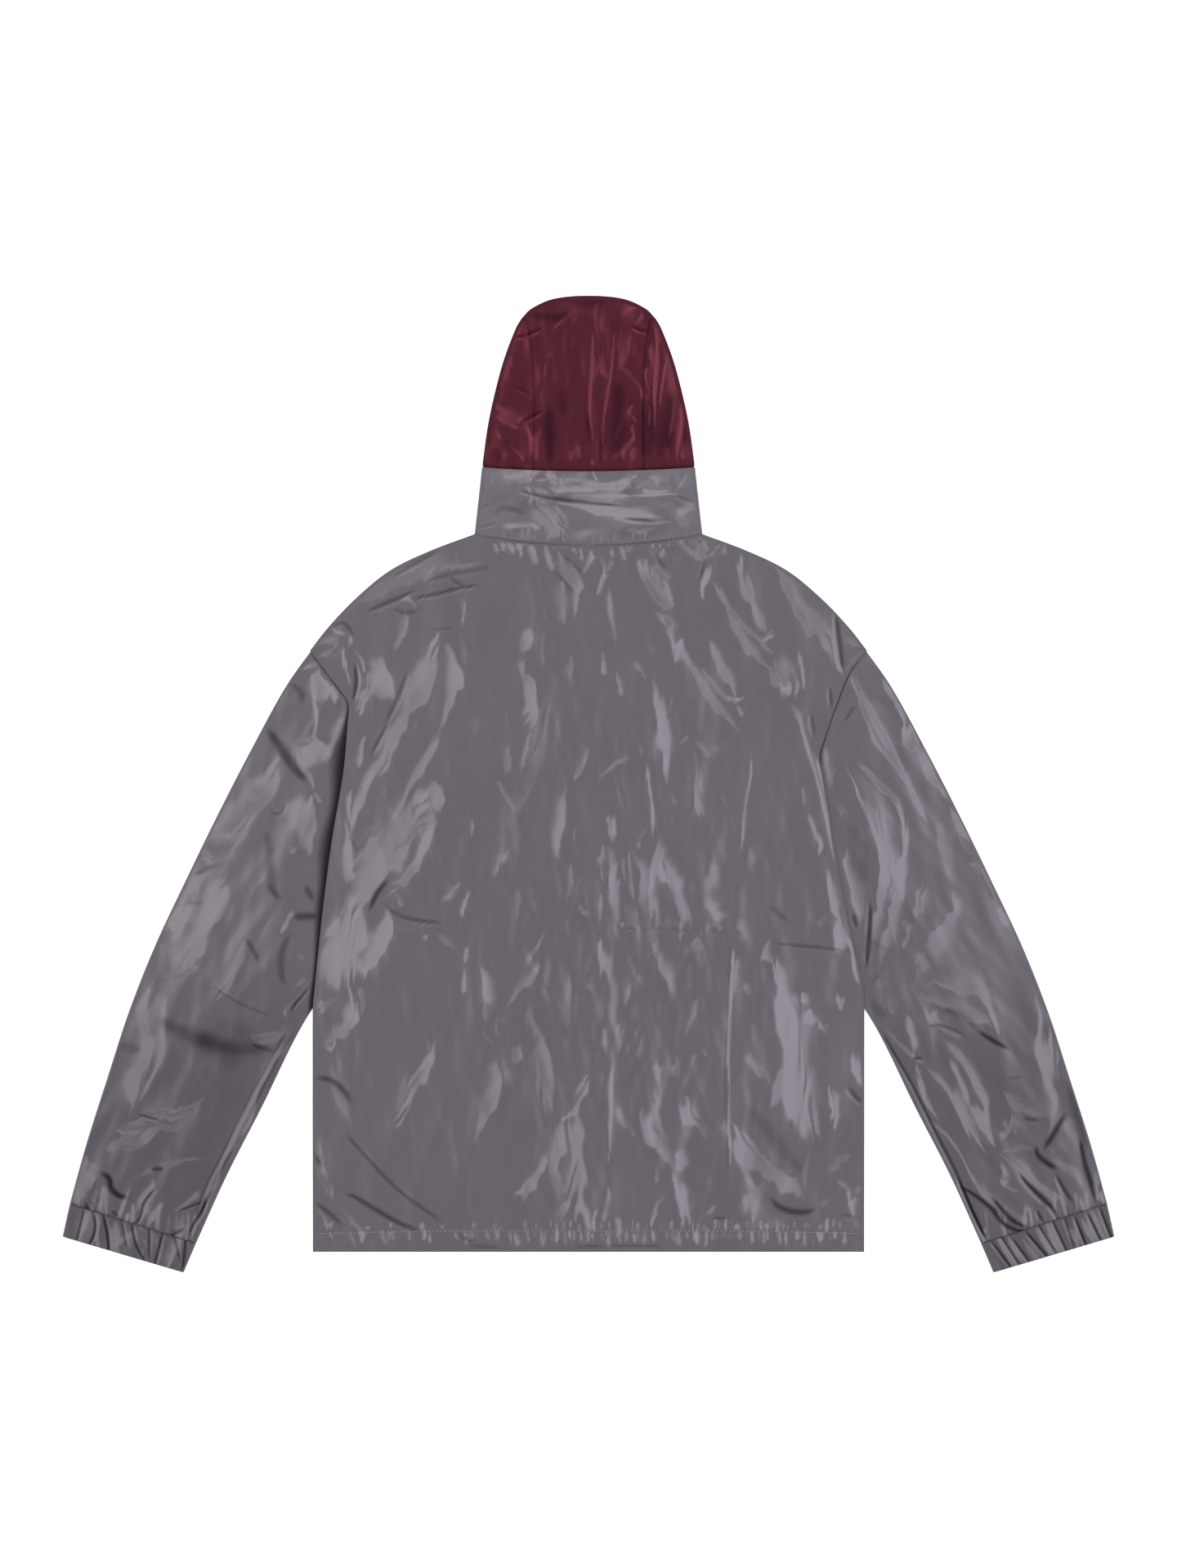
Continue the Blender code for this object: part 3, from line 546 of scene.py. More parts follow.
class Value:
    """A number that changes over a surface. Arithmetic on it adds Math nodes."""

    def __init__(self, graph: "Graph", socket: bpy.types.NodeSocket) -> None:
        """Wraps an output socket of the graph."""
        self.graph, self.socket = graph, socket

    def math(self, operation: str, first: Any, second: Any) -> "Value":
        """Math node on two numbers or values."""
        made = self.graph.node("Math", {"operation": operation}, {0: first, 1: second})
        return Value(self.graph, made.outputs[0])

    def __add__(self, other: Any) -> "Value":
        """Sum."""
        return self.math("ADD", self, other)

    def __mul__(self, other: Any) -> "Value":
        """Product."""
        return self.math("MULTIPLY", self, other)

    def __sub__(self, other: Any) -> "Value":
        """Difference."""
        return self.math("SUBTRACT", self, other)

    def wave(self) -> "Value":
        """Sine, for a value in radians."""
        return self.math("SINE", self, 0.0)


class Graph:
    """Node tree of one material."""

    def __init__(self, name: str) -> None:
        """Makes a material with an empty Principled shader."""
        self.material = bpy.data.materials.new(name)
        self.material.use_nodes = True
        self.tree = self.material.node_tree
        self.shader = self.tree.nodes["Principled BSDF"]

    def node(self, kind: str, settings: dict[str, Any], sockets: dict[Any, Any]) -> bpy.types.Node:
        """Adds a node.

        Args:
            kind: node type without its ShaderNode prefix.
            settings: properties of the node, set first.
            sockets: values or links of its inputs, by name or number.

        Returns:
            The node.
        """
        made = self.tree.nodes.new("ShaderNode" + kind)
        for key, value in settings.items():
            setattr(made, key, value)
        self.feed(made, sockets)
        return made

    def feed(self, node: bpy.types.Node, sockets: dict[Any, Any]) -> None:
        """Sets or links inputs of a node, by name or number."""
        for key, value in sockets.items():
            if isinstance(value, (Value, bpy.types.NodeSocket)):
                source = value.socket if isinstance(value, Value) else value
                self.tree.links.new(source, node.inputs[key])
            else:
                node.inputs[key].default_value = value

    def coordinates(self, output: str) -> bpy.types.NodeSocket:
        """Texture coordinates of the piece: its UV map or its Object coordinates."""
        return self.node("TexCoord", {}, {}).outputs[output]

    def noise(self, where: bpy.types.NodeSocket, scale: Sequence[float], detail: float) -> Value:
        """Noise from 0 to 1, with a scale along each axis."""
        placed = self.node("Mapping", {}, {"Vector": where, "Scale": tuple(scale)}).outputs[0]
        made = self.node("TexNoise", {}, {"Vector": placed, "Scale": 1.0, "Detail": detail})
        return Value(self, made.outputs["Fac"])

    def axes(self, where: bpy.types.NodeSocket) -> tuple[Value, Value, Value]:
        """The three parts of a vector."""
        parts = self.node("SeparateXYZ", {}, {0: where}).outputs
        return Value(self, parts[0]), Value(self, parts[1]), Value(self, parts[2])

    def attribute(self, name: str) -> Value:
        """A number that the mesh carries."""
        return Value(self, self.node("Attribute", {"attribute_name": name}, {}).outputs["Fac"])

    def mix(self, share: Value, first: Sequence[float], second: Sequence[float]) -> bpy.types.NodeSocket:
        """Blend of two colours."""
        colours = {6: (*first, 1.0), 7: (*second, 1.0), 0: share}
        return self.node("Mix", {"data_type": "RGBA"}, colours).outputs[2]

    def blend(self, share: Value, second: bpy.types.Node) -> None:
        """Gives way to a second shader by a share that changes over the surface."""
        sockets = {0: share, 1: self.shader.outputs[0], 2: second.outputs[0]}
        mixed = self.node("MixShader", {}, sockets)
        self.tree.links.new(mixed.outputs[0], self.tree.nodes["Material Output"].inputs["Surface"])

    def bump(self, height: Value, strength: float, distance: float) -> bpy.types.NodeSocket:
        """Normal of a surface with fine relief."""
        sockets = {"Height": height, "Strength": strength, "Distance": distance}
        return self.node("Bump", {}, sockets).outputs[0]


@dataclass(frozen=True)
class Satin:
    """Satin-faced nylon: fine slubs along the warp, a faint twill and painted shade in its creases."""

    name: str
    colour: tuple[float, float, float]
    other: tuple[float, float, float]
    # colour of the painted shade in the creases
    depth: tuple[float, float, float]
    roughness: float
    specular: float
    gleam: tuple[float, float, float]
    twill: ClassVar[float] = 0.0011  # from rib to rib, m
    drifts: ClassVar[tuple[float, float, float]] = (9, 9, 9)
    slubs: ClassVar[tuple[float, float, float]] = (420, 24, 1)
    grains: ClassVar[tuple[float, float, float]] = (420, 300, 1)

    def build(self) -> bpy.types.Material:
        """Makes the material.

        Returns:
            Colour drifts a little over the cloth, and painted shade sinks it to the depth colour in
            the creases.
            Slubs are noise drawn out along the warp, and the twill a sine across both threads.
        """
        graph = Graph(self.name)
        uv = graph.coordinates("UV")
        drift = graph.noise(graph.coordinates("Object"), self.drifts, 2.0)
        slub = graph.noise(uv, self.slubs, 2.0)
        grain = graph.noise(uv, self.grains, 3.0)
        u, v, _ = graph.axes(uv)
        twill = ((u + v) * (2 * math.pi / self.twill)).wave()
        shade = graph.attribute("shade")
        tone = graph.mix(drift * 0.9 + slub * 0.25 - 0.1, self.colour, self.other)
        relief_height = slub * 0.5 + grain * 0.35 + twill * 0.06
        graph.feed(
            graph.shader,
            {
                "Base Color": tone,
                "Roughness": slub * 0.04 + drift * 0.06 + (self.roughness - 0.05),
                "Normal": graph.bump(relief_height, 0.05, 0.0005),
                "Specular IOR Level": self.specular,
                "Specular Tint": (*self.gleam, 1.0),
            },
        )
        # painted shade: where the shade attribute is high, the cloth gives way to a dark matt shader
        depth = {"Base Color": (*self.depth, 1.0), "Roughness": 0.9, "Specular IOR Level": 0.05}
        graph.blend(shade * 0.95, graph.node("BsdfPrincipled", {}, depth))
        return graph.material


@dataclass(frozen=True)
class Weave:
    """Plain matt weave or thread: ribs across and a little grain."""

    name: str
    colour: tuple[float, float, float]
    other: tuple[float, float, float]
    pitch: float
    roughness: float

    def build(self) -> bpy.types.Material:
        """Makes the material, with ribs as sines of the Object coordinates."""
        graph = Graph(self.name)
        where = graph.coordinates("Object")
        x, y, _ = graph.axes(where)
        ribs = (y * (2 * math.pi / self.pitch)).wave() * (x * (2 * math.pi / self.pitch)).wave()
        grain = graph.noise(where, (900, 900, 900), 2.0)
        graph.feed(
            graph.shader,
            {
                "Base Color": graph.mix(grain, self.colour, self.other),
                "Roughness": grain * 0.2 + (self.roughness - 0.1),
                "Normal": graph.bump(ribs * 0.5 + grain * 0.5, 0.4, 0.0003),
            },
        )
        return graph.material


@dataclass(frozen=True)
class DullMetal:
    """Plated metal with fine brush marks and wear."""

    name: str
    colour: tuple[float, float, float]
    worn: tuple[float, float, float]
    roughness: float

    def build(self) -> bpy.types.Material:
        """Makes the material: brush marks are noise drawn out along the zip."""
        graph = Graph(self.name)
        where = graph.coordinates("Object")
        brush = graph.noise(where, (6000, 400, 6000), 2.0)
        wear = graph.noise(where, (300, 300, 300), 4.0)
        graph.feed(
            graph.shader,
            {
                "Base Color": graph.mix(wear, self.colour, self.worn),
                "Roughness": brush * 0.18 + wear * 0.12 + (self.roughness - 0.15),
                "Normal": graph.bump(brush, 0.15, 0.0001),
                "Metallic": 1.0,
            },
        )
        return graph.material


SHELL = Satin(
    "shell_satin",
    colour=(0.0645, 0.0570, 0.0680),
    other=(0.0725, 0.0640, 0.0760),
    # depth is the colour of the painted shade in the creases
    depth=(0.008, 0.007, 0.009),
    roughness=0.33,
    specular=0.85,
    gleam=(1.0, 0.95, 1.0),
)
HOOD = Satin(
    "hood_satin",
    colour=(0.020, 0.0034, 0.0066),
    other=(0.025, 0.0041, 0.0080),
    # depth is the colour of the painted shade in the creases
    depth=(0.005, 0.001, 0.002),
    roughness=0.33,
    specular=0.85,
    gleam=(0.88, 0.21, 0.31),
)
TAPE = Weave("zip_tape", (0.055, 0.050, 0.057), (0.070, 0.064, 0.072), 0.0012, 0.8)
THREAD = Weave("thread", (0.230, 0.210, 0.230), (0.300, 0.275, 0.300), 0.0006, 0.6)
METAL = DullMetal("zip_metal", (0.33, 0.32, 0.33), (0.42, 0.41, 0.42), 0.34)


class Wardrobe:
    """Materials, each made once."""

    made: ClassVar[dict[str, bpy.types.Material]] = {}

    @classmethod
    def get(cls, finish: Any) -> bpy.types.Material:
        """The material of a finish."""
        if finish.name not in cls.made:
            cls.made[finish.name] = finish.build()
        return cls.made[finish.name]


def add_piece(name: str, mesh: bpy.types.Mesh, finish: Any) -> bpy.types.Object:
    """Object of a mesh, dressed and riding on the garment.

    Args:
        name: the piece's name.
        mesh: its mesh, in the frame's metres.
        finish: its finish.

    Returns:
        The object.
    """
    mesh.materials.append(Wardrobe.get(finish))
    made = bpy.data.objects.new(name, mesh)
    bpy.context.scene.collection.objects.link(made)
    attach(made, GARMENT)
    log.info("%s: %d faces", name, len(mesh.polygons))
    return made


@dataclass
class Cloth:
    """A cut piece of cloth. cut is its width and length in metres, and area its flat area."""

    node: str
    cut: tuple[float, float]
    area: float
    held: str = "laid"
    rests_on: tuple[str, ...] = ()
    finish: Satin = SHELL

    def surface(self) -> Surface:
        """Grid of the piece's points."""
        raise NotImplementedError

    def build(
        self, with_pieces: Sequence[bpy.types.Object] = (), grid: Surface | None = None
    ) -> bpy.types.Object:
        """Makes the piece in place of its solid.

        Args:
            with_pieces: separate pieces sewn on it; not used.
            grid: its surface, where that is made already.

        Returns:
            The object.
        """
        name = self.node + "_cloth"
        grid = grid or self.surface()
        made = add_piece(name, grid.mesh(name), self.finish)
        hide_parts(self.node)
        return made


# Plan of the garment: distance out from the centre line and Y
HALF_HEM = 280.1
HEM_Y = -475.6
HEM_DEPTH = 21.0
NECK_OUT = 115.8
NECK_CORNER_Y = 254.0
NECK_BACK_Y = 242.4
SHOULDER = Path(
    [(115.8, 254.0), (160.2, 237.4), (200.9, 217.5), (237.4, 187.6), (265.6, 157.7), (283.0, 135.3)]
)
BACK_SIDE = {
    Side.LEFT: Path(
        [(280.1, -475.6), (280.1, -232.4), (278.1, -206.7), (269.8, -127.0), (260.2, -54.0),
         (249.0, 12.5), (244.4, 64.0), (243.4, 77.0), (244.6, 84.0), (248.5, 90.0), (283.0, 135.3)]
    ),
    Side.RIGHT: Path(
        [(280.1, -475.6), (280.1, -232.4), (278.9, -206.7), (263.1, -133.6), (250.7, -69.7),
         (238.2, 8.0), (234.9, 24.0), (234.9, 31.0), (237.0, 38.0), (250.0, 76.0), (265.6, 114.0),
         (283.0, 135.3)]
    ),
}
SLEEVE_OUTER = Path(
    [(274.7, 145.3), (307.1, 99.6), (343.6, 33.2), (377.7, -33.2), (410.0, -99.6), (441.1, -166.0),
     (467.3, -232.4), (488.9, -298.8), (510.0, -365.2), (526.8, -425.8)]
)
SLEEVE_INNER = Path(
    [(210.0, -150.0), (244.0, -190.0), (283.0, -232.4), (333.7, -332.0), (367.7, -398.4), (398.6, -466.5)]
)
SLEEVE_CAP = Path(
    [(210.0, -150.0), (207.0, -100.0), (208.0, -50.0), (211.0, 0.0), (220.0, 60.0), (240.0, 104.0),
     (274.7, 145.3)]
)
CUFF_END = ((411.3, -496.3), (534.3, -459.8))
FRONT_NECK = [(5.0, 192.0), (16.0, 192.7), (36.0, 196.5), (70.0, 210.5), (115.8, 253.7)]
ZIP_GAP = 5.0  # from the centre line to the fronts' zip edges
COLLAR_TOP_OUT = 108.3
COLLAR_TOP_Y = 321.2
COLLAR_TOP_DIP = 4.1  # of the collar's top edge, in its middle
SLEEVE_TURN = -25  # of the right sleeve, in degrees from +Y to +X
ZIP_LIFT = 4.0  # of the collar's front, at the slider


def back_edge(side: Side, y: Array) -> Array:
    """Distance from the centre line to the side of the back, at a Y."""
    points = BACK_SIDE[side].at(np.linspace(0, 1, 400))
    return np.interp(y, points[:, 1], points[:, 0])


def zip_lift(x: Array, y: Array) -> Array:
    """How far the slider holds the front of the collar off the floor."""
    along = smooth(254, 276, y) * (1 - smooth(303, 325, y))
    return ZIP_LIFT * along * (1 - smooth(16, 36, np.abs(x)))


def bulge(across: Array, power: float) -> Array:
    """0 at both ends of a width and 1 in its middle: fuller than an arch for a power below 1."""
    return np.clip(np.sin(np.pi * across), 0, 1) ** power


def uneven(x: Array, first: float, second: float, phase: float, swing: float) -> Array:
    """Share along a seam that comes and goes by two waves, from 1 to 1 less twice the swing."""
    return 1 - swing + swing * np.sin(first * x) * np.sin(second * x + phase)


# Back, as facing, width, lean, then the line's points
BACK_CREASES = (
    # left shoulder
    creases("""
N 20 .15 -255 172 -215 204 -170 221 -128 236
N 3 .28 -194 188 -182 187 -171 178
N 6 .16 -172 210 -140 221 -103 226
W 7 .20 -190 180 -186 165 -190 150 -198 133
N 3 .30 -264 159 -252 154 -243 150
W 3 .30 -244 152 -241 146 -247 140
N 3 .28 -244 141 -258 136 -276 127
N 6 .20 -277 139 -262 147 -254 150
W 3.5 .28 -249 141 -247 126 -243 108 -241 94
E 2.8 .28 -240 138 -232 130 -228 117 -230 105
W 19 .27 -221 133 -213 115 -213 98 -222 83
W 6 .25 -224 98 -231 82 -234 66
""")
    # left upper folds
    + creases("""
W 13 .29 -157 158 -160 135 -169 108 -181 82 -196 52 -211 20 -220 4
W 8 .26 -150 134 -157 115 -170 88 -184 62
W 5.5 .28 -196 60 -212 26 -226 -2 -235 -24 -240 -56
W 9 .29 -157 152 -146 140 -137 122 -136 100 -144 75 -152 56
W 5 .27 -146 70 -157 42 -172 12 -188 -15 -203 -42
W 5 .22 -225 53 -230 32 -232 10
W 4 .24 -240 2 -243 -20 -241 -42
W 5 .25 -248 -28 -244 -48 -243 -72 -239 -97
W 10 .20 -248 -58 -244 -82 -241 -108
W 3 .16 -127 197 -129 156
W 6 .13 -112 72 -118 44
""")
    # left side folds
    + creases("""
W 25 .22 -163 12 -178 -22 -200 -58 -220 -90 -238 -124 -248 -156
W 12 .22 -163 8 -155 -10 -151 -32
W 7 .29 -149 -31 -160 -42 -168 -62 -176 -82 -190 -100 -210 -117
W 5 .27 -152 -34 -170 -42 -187 -59 -203 -76
E 8 .26 -203 -113 -194 -119 -189 -129
W 30 .23 -238 -118 -242 -150 -244 -180 -243 -212
W 16 .22 -258 -152 -262 -180 -260 -214
W 10 .27 -209 -120 -206 -138 -210 -155 -222 -178 -232 -200
W 3.5 .28 -252 -135 -262 -150 -268 -158
W 12 .26 -241 -203 -238 -225 -244 -242 -258 -256 -268 -270
E 8 .20 -232 -203 -228 -222 -227 -237
W 7 .20 -276 -235 -266 -222 -257 -217
W 3 .25 -120 -104 -126 -120 -128 -132 -122 -138
W 8 .15 -133 -95 -140 -110 -150 -126
W 2 .22 -118 -35 -119 -56
W 2.4 .30 -98 12 -88 -5 -74 -31
E 4 .26 -156 -151 -143 -160 -131 -173
W 3 .26 -124 -163 -126 -182
W 2.5 .22 -126 -183 -128 -216
N 3 .16 -200 -146 -175 -149
W 3 .24 -167 -151 -165 -159
W 11 .20 -148 -240 -154 -262 -165 -285 -178 -312 -190 -335 -200 -356
E 8 .17 -109 -180 -100 -205 -98 -230 -97 -257
W 12 .19 -105 -213 -100 -240 -95 -264
W 14 .19 -90 -268 -95 -300 -105 -330 -119 -364
""")
    # neck and upper middle
    + creases("""
W 3 .24 -97 247 -92 232
W 3 .22 -88 247 -86 235
W 3 .24 -80 247 -76 233
W 4 .26 -69 247 -67 228
W 5 .25 -62 249 -57 234 -49 215
W 4 .26 -46 246 -41 229 -35 213
W 10 .27 -36 241 -28 226 -17 211 -10 198 -12 181 -13 166
W 12 .18 -38 213 -31 199 -27 184 -31 157
W 3 .26 -16 242 -9 226
E 3 .24 -9 241 -4 225
W 4.5 .27 -2 241 1 229 -5 213
E 4.5 .28 7 241 13 228 17 217 12 200 7 179
W 4 .26 26 231 21 222 16 212
E 3 .24 22 243 26 228
E 2.6 .26 33 242 39 225
E 4 .18 18 206 24 176 27 150 26 133
E 3 .22 68 245 70 234
E 4 .24 77 241 73 228
W 4 .20 87 241 92 230
W 7 .22 -64 162 -63 147 -68 127
W 11 .29 -70 136 -68 119 -60 104 -55 88 -55 72 -62 50
W 3 .18 -58 58 -64 32 -70 6
W 6 .16 -22 142 -18 126 -22 111 -9 92
W 8 .13 -46 172 -50 140 -47 110
E 5 .24 12 138 14 125 16 106
E 4 .21 27 119 31 105 36 83
E 2.2 .26 44 130 59 105
E 2 .16 60 144 69 131
E 8 .32 64 117 70 90 75 66 78 40 80 -4
E 3 .20 80 -7 91 -22
W 3 .20 86 93 80 67
""")
    # right fold from the neck
    + creases("""
E 4 .30 57 238 52 225 56 210 66 194 79 180 90 168
E 13 .25 57 231 62 212 73 194 85 174
E 2.6 .30 69 223 78 205 83 190 88 173
E 8 .22 62 226 73 215 86 207
E 4 .28 64 177 75 170 85 163 91 156
E 8 .28 70 174 80 162 85 149 87 139 84 129
E 5 .27 96 150 92 135 87 118
""")
    # right shoulder
    + creases("""
E 3.5 .28 91 247 105 235 120 225
E 6 .24 104 252 112 240 122 229
E 3 .26 115 251 122 235
W 3 .28 136 246 128 236 120 228
E 4 .20 137 247 138 228
E 4.5 .29 123 230 121 214 117 200 119 182
E 7 .29 124 213 133 194 141 177 151 159 163 140 173 126 186 116
E 3 .28 138 182 155 165 170 150 180 144
N 2.6 .28 174 146 192 151
N 2.5 .24 177 146 189 157
E 2.5 .24 170 148 188 131
E 18 .27 183 125 195 112 203 100 199 87
E 5 .26 203 85 212 72 219 56
E 9 .26 151 241 154 220 159 204 167 185 175 165 183 150
E 9 .26 123 150 128 138 136 121 145 101 151 85
E 5 .29 94 148 102 126 112 108 124 88 140 68 157 48
E 3 .27 111 120 125 103 140 88 150 80
N 2.6 .27 143 82 160 88
E 2.6 .25 148 83 158 67
N 2.5 .22 135 90 153 85
E 14 .27 179 231 195 210 206 196 219 178 231 162 241 147 250 128 257 109
N 4 .28 257 111 266 122 281 140
E 3 .22 213 140 217 118 219 96
E 7 .18 260 149 276 142
""")
    # right side
    + creases("""
E 3.5 .30 208 81 217 58 224 36 230 14 236 -12 243 -40 248 -70 250 -87
E 2.6 .28 226 45 232 22 240 -15 248 -50 252 -80 259 -100
E 3 .26 239 49 248 62
E 6 .28 245 -83 246 -104 250 -124 258 -143
E 4 .16 217 -1 221 -28
E 4 .26 220 -24 231 -48 236 -60 234 -70
E 5 .20 103 47 118 36 130 26
W 3 .20 89 39 102 50
E 8 .14 127 43 143 33
E 11 .18 96 37 108 14 112 -14 119 -44
E 2.5 .22 166 44 165 10 160 -20 156 -60 154 -92
E 10 .16 160 -60 165 -76 155 -90
E 9 .25 255 -134 257 -154 263 -176
E 3 .28 262 -150 268 -172 271 -192 278 -209
E 8 .18 240 -131 233 -149
E 7 .20 185 -159 180 -172 184 -184
E 11 .27 185 -172 191 -186 198 -202 203 -222 208 -248
E 26 .27 199 -196 206 -235 210 -265 213 -295 216 -325 224 -374
E 10 .25 200 -284 194 -305 187 -330
E 10 .24 243 -306 250 -325 250 -347
E 7 .20 217 -209 222 -230
E 9 .20 224 -229 228 -248
E 5 .18 236 -239 240 -256
E 5 .24 254 -211 256 -233
E 6 .26 268 -267 272 -290 280 -313
E 2.8 .26 148 -138 147 -160 144 -225 142 -290 143 -355 145 -400 147 -425
E 8 .17 148 -168 150 -190 148 -214
E 5 .15 158 -199 166 -216
E 12 .19 150 -138 158 -150 152 -162
E 10 .17 119 -115 132 -130 143 -144
E 14 .14 136 -83 124 -106
E 12 .15 112 -149 108 -168 98 -187
E 7 .15 103 -203 104 -222
E 6 .17 113 -266 106 -285 96 -309
E 4 .18 111 -267 123 -277
E 8 .17 159 -271 172 -288 183 -306
""")
    # middle
    + creases("""
W 9 .15 -88 44 -84 25 -83 8
W 8 .20 0 52 -5 30 -10 15 -15 5 -12 -6
W 7 .22 -23 2 -28 -20 -32 -45 -35 -70 -27 -82
N 3 .28 7 4 22 16 35 26 46 31
N 4 .24 49 32 58 34
N 1.5 .15 60 33 96 35
E 2.5 .28 60 24 63 -10 66 -35 65 -57
E 4 .22 20 -29 22 -50 26 -61
E 3 .24 26 -29 27 -59
E 16 .17 18 -58 20 -85 22 -108
E 8 .15 27 -78 28 -132
E 3 .18 50 -48 52 -67
E 12 .21 43 -64 55 -80 57 -100 52 -125 50 -143
E 8 .26 76 -50 72 -70 66 -90 65 -118
E 15 .23 77 -70 85 -95 95 -118 107 -146
W 4 .22 13 -73 18 -95 18 -114
W 4 .17 -13 -39 -15 -60
E 4 .22 -11 -123 1 -136
W 5 .16 10 -108 12 -142
W 8 .13 -60 -98 -58 -132
W 9 .12 -75 -108 -72 -137
W 6 .15 -84 -63 -99 -92
E 6 .15 39 -93 46 -122
""")
    # lower middle
    + creases("""
W 6 .23 -43 -146 -50 -163 -60 -176 -55 -188 -68 -204 -80 -217 -87 -229
W 7 .16 -8 -178 -6 -200 -5 -222
W 6 .15 -22 -183 -20 -225 -24 -262
E 8 .15 20 -158 22 -190 26 -217
E 3 .26 12 -150 13 -175 13 -202
E 3 .20 18 -238 17 -277
W 14 .20 -58 -213 -59 -240 -52 -265 -46 -295 -38 -346
W 9 .17 -80 -260 -74 -275 -80 -287
E 6 .16 45 -233 48 -264
E 7 .15 62 -243 55 -270 52 -291
E 6 .15 35 -238 30 -272
E 6 .15 73 -280 70 -302
E 7 .17 92 -273 88 -302
E 9 .17 62 -149 72 -172 82 -196 90 -216
W 9 .21 0 -296 -10 -318 -26 -342
W 19 .24 -18 -320 -16 -355 -12 -385 -14 -415 -14 -453
W 12 .22 -35 -333 -32 -362 -35 -388 -32 -412
W 9 .22 -37 -396 -28 -418 -22 -430 -34 -446 -43 -456
W 10 .21 -42 -366 -48 -388 -60 -405 -73 -431
E 2.4 .30 26 -262 24 -301 23 -340 21 -375 15 -404
E 4.5 .28 16 -402 21 -420 17 -438 16 -454
W 3 .20 6 -430 3 -450
E 6 .17 32 -320 36 -340 47 -357
E 13 .20 60 -320 60 -350 72 -368 93 -393
E 4 .18 68 -383 70 -407
W 7 .21 83 -411 70 -425 64 -451
E 10 .19 86 -383 92 -410 99 -447
E 4 .26 31 -439 33 -462
""")
    # lower left
    + creases("""
W 4 .28 -280 -343 -274 -372 -270 -390 -266 -410 -257 -426
W 5 .24 -280 -385 -272 -400 -262 -412 -260 -430
N 4 .26 -259 -426 -245 -438 -232 -450 -221 -463
N 5 .24 -280 -427 -268 -440 -262 -453
W 6 .15 -264 -308 -250 -330 -240 -347
""")
    # lower right
    + creases("""
E 18 .26 145 -346 162 -372 180 -388 200 -402 223 -427
E 15 .21 179 -396 170 -420 172 -448
N 13 .22 147 -445 175 -443 207 -447
E 6 .19 163 -424 150 -438
N 8 .24 237 -393 252 -384 267 -375
N 6 .22 225 -433 236 -424 249 -417
E 6 .25 262 -408 268 -425 272 -442
N 5 .26 265 -426 280 -404
E 4 .20 251 -401 265 -413
E 12 .19 95 -318 106 -342 125 -361
E 6 .17 136 -333 126 -359
E 10 .17 95 -368 100 -394
E 5 .25 129 -401 112 -418 102 -433
E 9 .21 92 -398 98 -425 104 -450
N 3 .20 107 -449 131 -424
""")
)
# Back, as half width, depth, then the line's points
BACK_GROOVES = grooves("""
2.6 2 -262 160 -248 163 -237 150
3 2.4 -229 173 -207 183 -190 190 -174 198
3 1.6 -202 180 -186 174 -168 177
2.6 2.4 -182 187 -150 194 -131 199 -108 202
3.2 1.3 -170 205 -140 213 -94 221
3 1.8 -143 210 -126 201
3 1.5 -202 209 -180 222 -148 240
2.4 1.6 -242 142 -255 136 -266 129
3 2.8 -238 126 -236 104 -240 80
3.6 1.6 -183 116 -195 86 -208 58
2.8 1.8 -203 64 -213 45 -222 27
2.2 1.2 -162 157 -136 158
2.2 1.6 -25 233 -5 212
2.2 1.6 -37 219 -13 193
2.4 1.6 119 229 112 203
3 1.6 69 230 79 217
3.6 2.6 251 183 253 160 256 135 259 110
2.4 2 245 100 247 76
3 1.4 226 74 230 46
2 1.2 222 48 232 12 243 -30 250 -72
4 3.2 -201 -95 -214 -110 -224 -132
2.6 2.4 -211 -119 -198 -130 -181 -137 -160 -140 -146 -141
2.2 1.4 -245 -49 -233 -70
4 1.2 182 -122 204 -141
2.6 1.8 186 -162 225 -165 268 -170
2.2 .7 144 -165 141 -240 139 -290 140 -355 142 -397
2.4 .5 28 -146 112 -149 166 -152
4.5 2.8 -282 -298 -262 -301 -248 -312 -239 -329
3 2.6 -282 -371 -271 -389
3 2.4 -282 -422 -266 -434 -247 -451
2.2 2.4 -248 -353 -225 -379 -203 -403 -178 -424 -148 -445
3.6 3.4 -252 -417 -240 -418 -215 -433 -190 -447 -168 -455
2.4 2.2 -132 -458 -116 -467
1.6 1.4 -124 -470 -86 -471
1.6 1.4 -16 -470 19 -470
1.6 1.4 15 -469 78 -470
5 3.2 182 -416 192 -428 206 -434 224 -434 235 -429
10 .8 158 -323 185 -355 205 -380 224 -400
3.5 2.2 262 -306 272 -318 282 -327
2.6 1.6 256 -438 273 -440
2.6 1.6 124 -440 147 -442
""")


